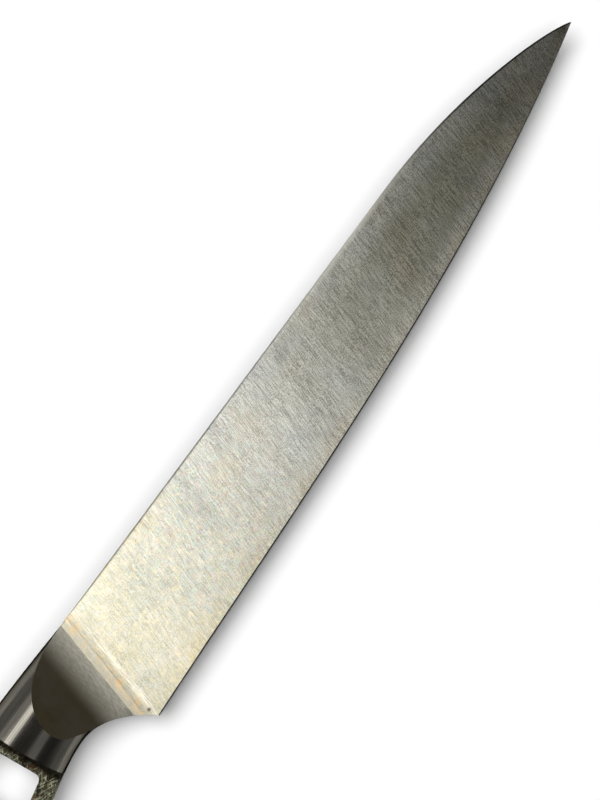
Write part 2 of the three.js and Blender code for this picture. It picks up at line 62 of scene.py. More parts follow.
MM = 0.001  # metres in a millimetre
BODY = "root"  # the one body of a knife without joints
SAME_POINT = 2e-7  # metres, points closer than this are one point
CURVE_SAMPLES = 1500  # points that a curve is looked up on
HALVINGS = 50  # of the stretch in which a crossing is searched
UV_ACROSS = "across_marks"  # the UV map whose U axis runs across the grind marks
BELOW_SPINE = "below_spine"  # the blade's distances from its spine and its edge
ABOVE_EDGE = "above_edge"
MIRROR = np.array([1, 1, -1])  # turns a point to the knife's other side

# Settings that many nodes share.
SMOOTH = {"interpolation_type": "SMOOTHSTEP"}
TIMES = {"operation": "MULTIPLY"}
TIMES_PLUS = {"operation": "MULTIPLY_ADD"}
LESS = {"operation": "SUBTRACT"}
PLAIN = {"operation": "ABSOLUTE"}
ALONG = {"operation": "DOT_PRODUCT"}
COLOUR = {"data_type": "RGBA"}
SHADED = {"data_type": "RGBA", "blend_type": "MULTIPLY"}
GLAZED = {"data_type": "RGBA", "blend_type": "SOFT_LIGHT"}

AddNode = Callable[..., bpy.types.Node]


class Side(Enum):
    """The two sides of the knife, by the sign of z."""

    UPPER = 1
    LOWER = -1


class Surface(Enum):
    """The two finishes of the bolster, by their material's place on the piece."""

    BARREL = 0
    SCOOP = 1


def linear(colour: int) -> tuple[float, float, float, float]:
    """Turns an sRGB hex colour to the linear colour that the shaders take.

    Args:
        colour: The colour as 0xRRGGBB.

    Returns:
        Linear red, green, blue and an alpha of 1.
    """
    shares = [((colour >> shift) & 0xFF) / 255 for shift in (16, 8, 0)]
    red, green, blue = (s / 12.92 if s <= 0.04045 else ((s + 0.055) / 1.055) ** 2.4 for s in shares)
    return red, green, blue, 1.0


def per_mm(*sizes: float) -> list[float]:
    """Gives the scales that turn coordinates in metres to pattern cells of these sizes in millimetres."""
    return [1 / (size * MM) for size in sizes]


def add_node(
    tree: bpy.types.NodeTree, kind: str, sockets: dict[str, Any] | Sequence[Any] = (), **settings: Any
) -> bpy.types.Node:
    """Adds a node to a tree with its settings, values and links.

    Args:
        tree: The tree that the node goes into.
        kind: The node's type; a shader node's goes without its first words.
        sockets: By name or in order, each input's value, or the node or output that is linked to it.
        settings: The node's own properties.

    Returns:
        The new node.
    """
    node = tree.nodes.new(kind if "Node" in kind else "ShaderNode" + kind)
    for name, value in settings.items():
        setattr(node, name, value)
    inputs = [socket for socket in node.inputs if socket.enabled]
    pairs = zip(inputs, sockets)
    if isinstance(sockets, dict):
        pairs = [(next(s for s in inputs if s.name == name), value) for name, value in sockets.items()]
    for socket, value in pairs:
        if isinstance(value, bpy.types.Node):
            value = next(output for output in value.outputs if output.enabled)
        if isinstance(value, bpy.types.NodeSocket):
            tree.links.new(value, socket)
        else:
            socket.default_value = value
    return node


def start_material(name: str) -> tuple[bpy.types.Material, AddNode]:
    """Starts a material with an empty node tree.

    Args:
        name: The material's name.

    Returns:
        The material, and the function that adds a node to its tree.
    """
    material = bpy.data.materials.new(name)
    material.use_nodes = True
    material.node_tree.nodes.clear()
    return material, partial(add_node, material.node_tree)


def close_finish(add: AddNode, height: Any, depth: Any, inputs: dict[str, Any], sunk: bool = False) -> None:
    """Closes a finish with its relief and its shader.

    Args:
        add: Adds a node to the finish's tree.
        height: The pattern that stands up from the surface.
        depth: Its depth, in metres.
        inputs: The shader's inputs.
        sunk: True if the pattern lies below the surface instead.
    """
    relief = add("Bump", {"Strength": 1.0, "Distance": depth, "Height": height}, invert=sunk)
    shader = add("BsdfPrincipled", {**inputs, "Normal": relief})
    add("OutputMaterial", {"Surface": shader})


@dataclass(frozen=True)
class GroundSteel:
    """Stainless blade steel, ground flat on a fine belt that ran across the blade.

    The belt leaves fine parallel marks from spine to edge, so a lamp draws a highlight out along the blade.
    Towards the heel the steel is warmer and glitters in faint tints. Beside the plunge line lies a duller
    band that a second, narrower wheel left, with heat tints and a painted highlight as a bright line along
    its end, and a small stain lies beside the choil. Painted shade darkens the steel between the heel and
    the middle, along the middle and at the tip, and on the spine's corner towards the tip, and a painted
    highlight lies beside the spine; the sharpened edge is darkened with painted shade. Sizes are in
    millimetres.
    """

    name: str = "ground_blade_steel"
    bright: int = 0xBAB9B0
    dull: int = 0x706F67
    warm: int = 0xD6CFB6  # the heel's colour
    cream: int = 0xE4DCB4  # patches of tint at the heel
    cool: int = 0xD2D6CE
    rose: int = 0xDCCAB6
    painted_shade: int = 0xF6F8FC  # painted shade between the heel and the middle, where the highlight falls off
    middle: int = 0xDBDAD0  # painted shade, with a slight tint, along the blade's middle away from spine and edge
    tip: int = 0xE2E1DF  # painted shade at the tip
    beige: int = 0xFFF3DF  # what the clouds keep, and a band along the edge
    blue: int = 0xE6EEF6  # what the clouds between those keep
    painted_spine_highlight: int = 0xE4E2D8  # painted highlight, a light band beside the spine
    honed_and_shaded: int = 0x5C5A55  # the sharpened edge, darkened with painted shade
    spine: int = 0x262522  # painted shade on the spine's corners
    heat: int = 0xBE9656
    band: int = 0x8E897B
    # painted highlight: the bright line at the end of the band
    line: int = 0xECE8DA
    stain: int = 0x5A3F38
    mark_length: float = 4.0
    mark_width: float = 0.17  # real marks are finer; this is as fine as shows from a step away
    pass_length: float = 60.0  # a slow change from one pass of the belt to the next
    pass_width: float = 9.0
    speckle_size: float = 0.26  # where the grit broke the marks up
    speckle_share: float = 0.52  # of the grain
    tint_size: float = 1.3
    glitter_share: float = 0.23  # of the tints, where they are strongest
    heat_size: float = 2.0
    cloud_size: float = 11.0
    warm_reach: float = 85.0  # ahead of the heel, where the warm colour has faded
    band_reach: float = 2.0  # ahead of the plunge line
    line_reach: float = 4.5
    line_width: float = 1.4
    stain_size: float = 0.8
    roughness: float = 0.3
    honed_roughness: float = 0.14
    anisotropy: float = 0.5
    mark_depth: float = 0.001

    def material(
        self, heel: Vector, plunge: Vector, across: Vector, stain_at: Vector, lean: float
    ) -> bpy.types.Material:
        """Makes the material.

        Args:
            heel: The heel of the blade, in the frame.
            plunge: A point of the plunge line.
            across: The direction ahead from the plunge line and square to it.
            stain_at: The middle of the small stain.
            lean: How far the marks' lower ends lie back, in radians.

        Returns:
            The material.
        """
        material, add = start_material(self.name)
        place = add("TexCoord").outputs["Object"]
        turned = add("Mapping", {"Vector": place, "Rotation": (0, 0, lean)})
        noises = []
        for source, cells in (
            (turned, (self.mark_width, self.mark_length, self.mark_width)),
            (turned, (self.pass_width, self.pass_length, self.pass_width)),
            (place, [self.speckle_size] * 3),
            (place, [self.tint_size] * 3),
            (place, [self.heat_size] * 3),
            (place, [self.cloud_size] * 3),
        ):
            scaled = add("Mapping", {"Vector": source, "Scale": per_mm(*cells)})
            noises.append(add("TexNoise", (scaled, 1.0, 2.0)))
        marks, passes, speckles, tints, patches, clouds = noises
        ahead = add("SeparateXYZ", [place]).outputs["X"]
        # Stretches of the blade: how far ahead of the heel each starts and is whole, and its share then.
        near, away, begun, ended, painted_tip_shade, tipward = (
            add("MapRange", (ahead, heel.x + start * MM, heel.x + whole * MM, 0.0, share), **SMOOTH)
            for start, whole, share in (
                (self.warm_reach, 0.0, 0.75),  # the warm heel
                (72.0, 140.0, 1.0),  # the far half
                (15.0, 36.0, 1.0),  # where the glitter begins
                (95.0, 45.0, 1.0),  # where it ends, seen from the tip
                (158.0, 182.0, 1.0),  # the tip, darkened with painted shade
                (125.0, 175.0, 1.0),  # where painted shade darkens the spine's corner
            )
        )
        grain = add("Mix", (self.speckle_share, marks, speckles))
        # The marks are deeper ahead of the heel, and show less at the heel itself.
        low, high = (add("MapRange", (away, 0.0, 1.0, *ends)) for ends in ((0.37, 0.42), (0.63, 0.58)))
        marked = add("MapRange", (grain, low, high))
        passed = add("MapRange", (passes, 0.3, 0.7, -0.12, 0.12))
        uneven = add("Math", (marked, passed), operation="ADD", use_clamp=True)
        calm = add("Math", (near, 0.3), **TIMES)
        share = add("Mix", (calm, uneven, 0.75))
        steel = add("Mix", (share, linear(self.dull), linear(self.bright)), **COLOUR)
        steel = add("Mix", (near, steel, linear(self.warm)), **GLAZED)
        # Each tint grows between two values of its pattern, here and below.
        for source, low, high, tint in (
            (tints, 0.46, 0.66, self.cream),
            (tints, 0.54, 0.34, self.cool),
            (patches, 0.5, 0.72, self.rose),
        ):
            amount = add("MapRange", (source, low, high, 0.0, 0.38))
            faded = add("Math", (amount, near), **TIMES)
            steel = add("Mix", (faded, steel, linear(tint)), **COLOUR)
        names = (BELOW_SPINE, ABOVE_EDGE)
        below_spine, above_edge = (add("Attribute", attribute_name=name).outputs["Fac"] for name in names)
        for source, low, high, most, tint in (
            (clouds, 0.5, 0.7, 0.3, self.beige),
            (clouds, 0.5, 0.3, 0.35, self.blue),
            (above_edge, 4.5, 1.5, 0.3, self.beige),
        ):
            amount = add("MapRange", (source, low, high, 0.0, most), **SMOOTH)
            steel = add("Mix", (amount, steel, linear(tint)), **SHADED)
        # Between the heel and the middle the marks glitter in faint tints, and painted shade darkens them a
        # little.
        glitter_and_shade = add("Math", (begun, ended), **TIMES)
        faint = add("Math", (glitter_and_shade, self.glitter_share), **TIMES)
        steel = add("Mix", (glitter_and_shade, steel, linear(self.painted_shade)), **SHADED)
        steel = add("Mix", (faint, steel, tints.outputs["Color"]), **GLAZED)
        # Painted shade darkens the blade's middle, away from its spine and its edge, and its tip.
        hollow = away
        for source, low, high in ((below_spine, 1.5, 9.0), (above_edge, 1.5, 6.0)):
            inside = add("MapRange", (source, low, high), **SMOOTH)
            hollow = add("Math", (hollow, inside), **TIMES)
        for amount, tint in ((hollow, self.middle), (painted_tip_shade, self.tip)):
            steel = add("Mix", (amount, steel, linear(tint)), **SHADED)
        # The band's border is ragged, and the heat tints lie along its middle.
        from_plunge = add("VectorMath", (place, plunge), **LESS)
        beyond = add("VectorMath", (from_plunge, across), **ALONG).outputs["Value"]
        ragged = add("Math", (passes, 0.9 * MM, beyond), **TIMES_PLUS)
        torn = add("Math", (patches, 2.4 * MM, ragged), **TIMES_PLUS)
        ridge = (self.band_reach + 0.4) * MM
        band = add("MapRange", (torn, (self.band_reach + 5.2) * MM, 1.5 * MM, 0.0, 0.72), **SMOOTH)
        heated = add("MapRange", (patches, 0.44, 0.7, 0.0, 0.6))
        far = add("MapRange", (ragged, ridge + 3.0 * MM, ridge), **SMOOTH)
        close = add("MapRange", (ragged, 0.7 * MM, ridge), **SMOOTH)
        # The painted highlight of the line is strong beside the edge, and fades out towards the spine.
        off_line = add("Math", (ragged, (self.line_reach + 0.45) * MM), **LESS)
        aside = add("Math", [off_line], **PLAIN)
        lined = add("MapRange", (aside, self.line_width * MM, 0.0, 0.0, 0.55), **SMOOTH)
        drop = add("SeparateXYZ", [from_plunge]).outputs["Y"]
        below = add("MapRange", (drop, -2.0 * MM, -14.0 * MM, 0.1))
        frayed = add("MapRange", (marks, 0.38, 0.6, 0.1))
        wide = self.stain_size * MM
        apart = add("VectorMath", (place, stain_at), operation="DISTANCE").outputs["Value"]
        spread = add("Math", (patches, wide, apart), **TIMES_PLUS)
        stained = add("MapRange", (spread, 1.2 * wide, 0.7 * wide, 0.0, 0.85))
        # The sharpened edge is smoother, and painted shade darkens it to a thin dark line.
        honed_and_shaded = add("MapRange", (above_edge, 0.34, 0.24))
        # A painted highlight lies as a light band beside the spine, and gives way to painted shade on the
        # spine's corner towards the tip.
        rest = add("MapRange", (tipward, 0.0, 1.0, 0.55, 0.0))
        beside, inner, outer = (
            add("MapRange", (below_spine, *ends)) for ends in ((1.6, 0.5), (0.6, 0.35), (0.0, 0.05))
        )
        tinted, painted_line_highlight, painted_spine_highlight, corner = (
            reduce(lambda one, other: add("Math", (one, other), **TIMES), factors)
            for factors in (
                (far, close, heated),
                (lined, frayed, below),
                (beside, rest, away),
                (inner, outer, tipward),
            )
        )
        for amount, tint in (
            (band, self.band),
            (tinted, self.heat),
            (painted_line_highlight, self.line),
            (stained, self.stain),
            (honed_and_shaded, self.honed_and_shaded),
            (painted_spine_highlight, self.painted_spine_highlight),
            # painted shade on the spine's corner towards the tip
            (corner, self.spine),
        ):
            steel = add("Mix", (amount, steel, linear(tint)), **COLOUR)
        ground = add("MapRange", (share, 0.0, 1.0, self.roughness + 0.02, self.roughness - 0.02))
        inputs = {
            "Base Color": steel,
            "Metallic": 1.0,
            "Roughness": add("Mix", (honed_and_shaded, ground, self.honed_roughness)),
            "Anisotropic": self.anisotropy,
            "Tangent": add("Tangent", direction_type="UV_MAP", uv_map=UV_ACROSS),
        }
        close_finish(add, grain, self.mark_depth * MM, inputs)
        return material


@dataclass(frozen=True)
class SatinSteel:
    """The scoop of the bolster: the same steel, hollowed on a wheel and left satin.

    The wheel's marks run along the plunge line. They are bright and coarse, and show as grains, near that
    line. The surface grows smoother and browner towards the barrel, and darker with painted shade. Sizes
    are in millimetres.
    """

    name: str = "satin_scoop_steel"
    bright: int = 0xC0BDAF
    dull: int = 0x959185
    # brown tint, and painted shade, towards the barrel
    brown: int = 0x4E483C
    tan: int = 0x473F2E  # patches in the brown
    mark_length: float = 1.7
    mark_width: float = 0.28  # drawn as coarse as it needs to show
    tan_size: float = 7.0
    fade_start: float = 1.9  # behind the plunge line
    fade_end: float = 8.9
    fray: float = 1.6  # how far a mark's end may lie from the next one's
    roughness: float = 0.52
    anisotropy: float = 0.2
    mark_depth: float = 0.006

    def material(self, plunge: Vector, across: Vector, lean: float) -> bpy.types.Material:
        """Makes the material.

        Args:
            plunge: A point of the plunge line, in the frame.
            across: The direction ahead from the plunge line and square to it.
            lean: How far the marks' lower ends lie back, in radians.

        Returns:
            The material.
        """
        material, add = start_material(self.name)
        place = add("TexCoord").outputs["Object"]
        turned = add("Mapping", {"Vector": place, "Rotation": (0, 0, lean)})
        cells = per_mm(self.mark_width, self.mark_length, self.mark_width)
        scaled = add("Mapping", {"Vector": turned, "Scale": cells})
        marks = add("TexNoise", (scaled, 1.0, 3.0, 0.65))
        patches = add("TexNoise", (place, *per_mm(self.tan_size), 2.0))
        from_plunge = add("VectorMath", (plunge, place), **LESS)
        behind = add("VectorMath", (from_plunge, across), **ALONG).outputs["Value"]
        ragged = add("Math", (marks, self.fray * MM, behind), **TIMES_PLUS)
        start, end = ((reach + self.fray / 2) * MM for reach in (self.fade_start, self.fade_end))
        # Towards the barrel the colour turns brown and dark: a brown tint, and painted shade.
        faded = add("MapRange", (ragged, start, end), **SMOOTH)
        marked = add("MapRange", (marks, 0.3, 0.7))
        tanned = add("MapRange", (patches, 0.4, 0.65))
        steel = add("Mix", (marked, linear(self.dull), linear(self.bright)), **COLOUR)
        browned_and_shaded = add("Mix", (tanned, linear(self.brown), linear(self.tan)), **COLOUR)
        depth = self.mark_depth * MM
        inputs = {
            "Base Color": add("Mix", (faded, steel, browned_and_shaded), **COLOUR),
            "Metallic": 1.0,
            "Roughness": add("MapRange", (marks, 0.0, 1.0, self.roughness + 0.06, self.roughness - 0.06)),
            "Anisotropic": self.anisotropy,
            "Tangent": add("Tangent", direction_type="UV_MAP", uv_map=UV_ACROSS),
        }
        close_finish(add, marks, add("MapRange", (faded, 0.0, 1.0, depth, 0.2 * depth)), inputs)
        return material


@dataclass(frozen=True)
class PolishedSteel:
    """The barrel of the bolster: forged steel, polished along its length on a soft wheel.

    It mirrors the lamps as stripes along the barrel, a little frayed by hairlines that the wheel left. Sizes
    are in millimetres.
    """

    name: str = "polished_barrel_steel"
    bright: int = 0x76736B
    dull: int = 0x5E5B54
    grazing: int = 0x4C4E50  # what the rims mirror, of white
    line_length: float = 16.0  # a hairline
    line_width: float = 0.25  # drawn as coarse as it needs to show
    smear_size: float = 5.0  # a patch that is a little less bright
    roughness: float = 0.125
    anisotropy: float = 0.8  # the wheel ran along the barrel, so that a lamp spreads round it
    line_depth: float = 0.00015

    def material(self) -> bpy.types.Material:
        """Makes the material.

        Returns:
            The material.
        """
        material, add = start_material(self.name)
        place = add("TexCoord").outputs["Object"]
        cells = per_mm(self.line_length, self.line_width, self.line_width)
        lines = add("TexNoise", (add("Mapping", {"Vector": place, "Scale": cells}), 1.0, 3.0))
        smears = add("TexNoise", (place, *per_mm(self.smear_size), 3.0))
        lined = add("MapRange", (lines, 0.3, 0.7))
        inputs = {
            "Base Color": add("Mix", (lined, linear(self.dull), linear(self.bright)), **COLOUR),
            "Metallic": 1.0,
            "Roughness": add("MapRange", (smears, 0.3, 0.7, self.roughness - 0.01, self.roughness + 0.01)),
            "Anisotropic": self.anisotropy,
            "Tangent": add("Tangent", direction_type="RADIAL", axis="X"),
            "Specular Tint": linear(self.grazing),
        }
        close_finish(add, lines, self.line_depth * MM, inputs)
        return material


@dataclass(frozen=True)
class CoarseSteel:
    """The tang: mild steel as it left a coarse wheel, unpolished because the handle covers it.

    Short crossed gouges sparkle against a dark, pitted skin. Rust has started in places, and a painted shadow
    darkens the corner behind the bolster. Sizes are in millimetres.
    """

    name: str = "coarse_tang_steel"
    bright: int = 0xDAD8BA
    dull: int = 0x403E2E
    pit: int = 0x1B1810
    rust: int = 0x4A2E1B
    # painted shadow in the corner behind the bolster
    painted_corner_shadow: int = 0x14110B
    gouge_length: float = 2.0
    gouge_width: float = 0.21  # as fine as shows
    pit_size: float = 1.3
    rust_size: float = 5.0
    shadow_reach: float = 2.0  # how far the painted shadow reaches behind the bolster
    roughness: float = 0.36
    gouge_depth: float = 0.06
    crossing: tuple[float, float] = (22.0, -38.0)  # degrees of the two sets of gouges to the axis

    def material(self, corner: Vector, back: Vector, flat: float) -> bpy.types.Material:
        """Makes the material.

        Args:
            corner: A point of the bolster's rear face, in the frame.
            back: The direction back from that face and square to it.
            flat: The height of the plate's flats over its middle plane, in metres.

        Returns:
            The material.
        """
        material, add = start_material(self.name)
        place = add("TexCoord").outputs["Object"]
        cells = per_mm(self.gouge_length, self.gouge_width, self.gouge_width)
        sets = []
        for turn in self.crossing:
            turned = add("Mapping", {"Vector": place, "Rotation": (0, 0, math.radians(turn))})
            scaled = add("Mapping", {"Vector": turned, "Scale": cells})
            sets.append(add("TexNoise", {"Vector": scaled, "Scale": 1.0, "Detail": 1.0, "Distortion": 0.25}))
        gouges = add("Math", sets, operation="MAXIMUM")
        pits = add("TexNoise", (place, *per_mm(self.pit_size), 4.0, 0.65))
        rusts = add("TexNoise", (place, *per_mm(self.rust_size), 4.0))
        shine = add("MapRange", (gouges, 0.54, 0.78))
        pitted = add("MapRange", (pits, 0.46, 0.62, 0.0, 0.85))
        rusted = add("MapRange", (rusts, 0.55, 0.7, 0.0, 0.7))
        # The plate's sides and its rounded edges are coloured black, unevenly: painted shade where they turn
        # away from the light, with dark scale.
        from_face = add("VectorMath", (place, corner), **LESS)
        thick = add("Math", [add("SeparateXYZ", [from_face]).outputs["Z"]], **PLAIN)
        uneven_rise = add("Math", (pits, -0.3 * MM, thick), **TIMES_PLUS)
        edge_shade_and_scale = add("MapRange", (uneven_rise, flat - 0.17 * MM, flat - 0.47 * MM, 0.0, 0.92))
        # A painted shadow darkens the corner behind the bolster's rear face, with a ragged border.
        behind = add("VectorMath", (from_face, back), **ALONG).outputs["Value"]
        uneven = add("Math", (pits, 1.2 * MM, behind), **TIMES_PLUS)
        corner_shadow = add("MapRange", (uneven, (self.shadow_reach + 1.1) * MM, self.shadow_reach * MM, 0.0, 0.95))
        colour = add("Mix", (shine, linear(self.dull), linear(self.bright)), **COLOUR)
        for amount, tint in ((pitted, self.pit), (edge_shade_and_scale, self.pit), (rusted, self.rust), (corner_shadow, self.painted_corner_shadow)):
            colour = add("Mix", (amount, colour, linear(tint)), **COLOUR)
        gloss = add("MapRange", (pitted, 0.0, 1.0, self.roughness, self.roughness + 0.3))
        inputs = {"Base Color": colour, "Metallic": 1.0, "Roughness": gloss}
        close_finish(add, gouges, self.gouge_depth * MM, inputs)
        return material


@dataclass(frozen=True)
class OiledWalnut:
    """The scales: walnut, sawn along the grain, sanded and oiled.

    Dark growth bands wander along the handle between lighter ones, crossed by fine open pores that the oil
    darkens. Sizes are in millimetres.
    """

    name: str = "oiled_walnut"
    light: int = 0x7A5234
    dark: int = 0x3F2717
    pore: int = 0x1D120B
    band_spacing: float = 3.2
    band_way: tuple[float, float, float] = (0.0, 0.82, 0.57)  # the direction from band to band
    wander_length: float = 45.0
    wander_width: float = 9.0
    wander_turns: float = 16.0  # radians of a band's phase
    wander_share: float = 0.45  # of the light and dark
    pore_length: float = 4.5
    pore_width: float = 0.2
    ior: float = 1.48  # of the oil
    roughness: float = 0.46
    pore_depth: float = 0.05

    def material(self) -> bpy.types.Material:
        """Makes the material.

        Returns:
            The material.
        """
        material, add = start_material(self.name)
        place = add("TexCoord").outputs["Object"]
        noises = []
        for long, wide, detail in (
            (self.wander_length, self.wander_width, 3.0),
            (self.pore_length, self.pore_width, 2.0),
        ):
            scaled = add("Mapping", {"Vector": place, "Scale": per_mm(long, wide, wide)})
            noises.append(add("TexNoise", (scaled, 1.0, detail)))
        wander, fibres = noises
        across = add("VectorMath", (place, self.band_way), **ALONG).outputs["Value"]
        rings = add("Math", (across, 2 * math.pi / (self.band_spacing * MM)), **TIMES)
        bent = add("Math", (wander, self.wander_turns, rings), **TIMES_PLUS)
        wave = add("Math", [bent], operation="SINE")
        bands = add("MapRange", (wave, -1.0, 1.0))
        mottled = add("Mix", (self.wander_share, bands, wander))
        pores = add("MapRange", (fibres, 0.56, 0.68, 0.0, 0.9))
        wood = add("Mix", (mottled, linear(self.dark), linear(self.light)), **COLOUR)
        inputs = {
            "Base Color": add("Mix", (pores, wood, linear(self.pore)), **COLOUR),
            "Roughness": add("MapRange", (pores, 0.0, 1.0, self.roughness, self.roughness + 0.25)),
            "IOR": self.ior,
        }
        close_finish(add, pores, self.pore_depth * MM, inputs, sunk=True)
        return material


@dataclass(frozen=True)
class RivetSteel:
    """The rivets: stainless steel, ground flush with the wood along the handle and buffed.

    Fine scratches along the handle carry across each head, as the belt that trued the scales left them. Sizes
    are in millimetres.
    """

    name: str = "flush_rivet_steel"
    bright: int = 0xC4C0B2
    dull: int = 0x9E9A8D
    scratch_length: float = 6.0
    scratch_width: float = 0.2
    roughness: float = 0.3
    scratch_depth: float = 0.004

    def material(self) -> bpy.types.Material:
        """Makes the material.

        Returns:
            The material.
        """
        material, add = start_material(self.name)
        cells = per_mm(self.scratch_length, self.scratch_width, self.scratch_width)
        scaled = add("Mapping", {"Vector": add("TexCoord").outputs["Object"], "Scale": cells})
        scratches = add("TexNoise", (scaled, 1.0, 3.0))
        scratched = add("MapRange", (scratches, 0.3, 0.7))
        inputs = {
            "Base Color": add("Mix", (scratched, linear(self.dull), linear(self.bright)), **COLOUR),
            "Metallic": 1.0,
            "Roughness": add("MapRange", (scratched, 0.0, 1.0, self.roughness + 0.05, self.roughness - 0.05)),
        }
        close_finish(add, scratches, self.scratch_depth * MM, inputs)
        return material


@dataclass(frozen=True)
class PaleFloor:
    """A matt white surface under the knife, evenly white to the eye and to what mirrors it.

    Light that comes back to it from the knife is counted at a share, so that the shadow keeps its depth.
    """

    name: str = "pale_floor"
    white: int = 0xF6F6F6
    bounced: int = 0x8C8C8C

    def material(self) -> bpy.types.Material:
        """Makes the material.

        Returns:
            The material.
        """
        material, add = start_material(self.name)
        path = add("LightPath").outputs
        seen = add("Math", (path["Is Camera Ray"], path["Is Glossy Ray"]), operation="ADD")
        shown = add("Math", (seen, path["Is Transmission Ray"]), operation="ADD", use_clamp=True)
        straight = add("Math", (path["Diffuse Depth"], 0.5), operation="LESS_THAN")
        white = add("Math", (shown, straight), **TIMES)
        colour = add("Mix", (white, linear(self.bounced), linear(self.white)), **COLOUR)
        add("OutputMaterial", {"Surface": add("BsdfDiffuse", {"Color": colour})})
        return material


@dataclass(frozen=True)
class Datum:
    """Where the heel, the handle's axis and the middle plane lie in the frame, in metres."""

    heel: float
    axis: float
    middle: float

    def place(self, points: np.ndarray) -> np.ndarray:
        """Puts points in millimetres into the frame.

        Args:
            points: Rows of x, y and z in millimetres from the heel, the axis and the middle plane.

        Returns:
            The same points in the frame, in metres.
        """
        return points * MM + np.array([self.heel, self.axis, self.middle])


@dataclass(frozen=True)
class Sweep:
    """A cubic curve of the side view that leaves and reaches its ends in given directions."""

    start: tuple[float, float]  # millimetres
    leaves: float  # degrees from +X, the direction from the start to its handle
    lead: float  # length of that handle
    end: tuple[float, float]
    arrives: float  # the same for the end and its handle
    trail: float

    def points(self, count: int) -> np.ndarray:
        """Gives points along the curve.

        Args:
            count: How many, both ends included.

        Returns:
            Rows of x and y in millimetres.
        """
        first, last = np.array(self.start), np.array(self.end)
        out, back = math.radians(self.leaves), math.radians(self.arrives)
        leaving = first + self.lead * np.array([math.cos(out), math.sin(out)])
        arriving = last + self.trail * np.array([math.cos(back), math.sin(back)])
        t = np.linspace(0, 1, count)[:, None]
        weights = np.hstack([(1 - t) ** 3, 3 * t * (1 - t) ** 2, 3 * t**2 * (1 - t), t**3])
        return weights @ np.array([first, leaving, arriving, last])

    def height(self, x: np.ndarray) -> np.ndarray:
        """Gives the curve's height at places along X, or at its nearer end beyond it.

        Args:
            x: Places in millimetres.

        Returns:
            Heights in millimetres.
        """
        line = self.points(CURVE_SAMPLES)
        if line[0, 0] > line[-1, 0]:
            line = line[::-1]
        return np.interp(x, line[:, 0], line[:, 1])


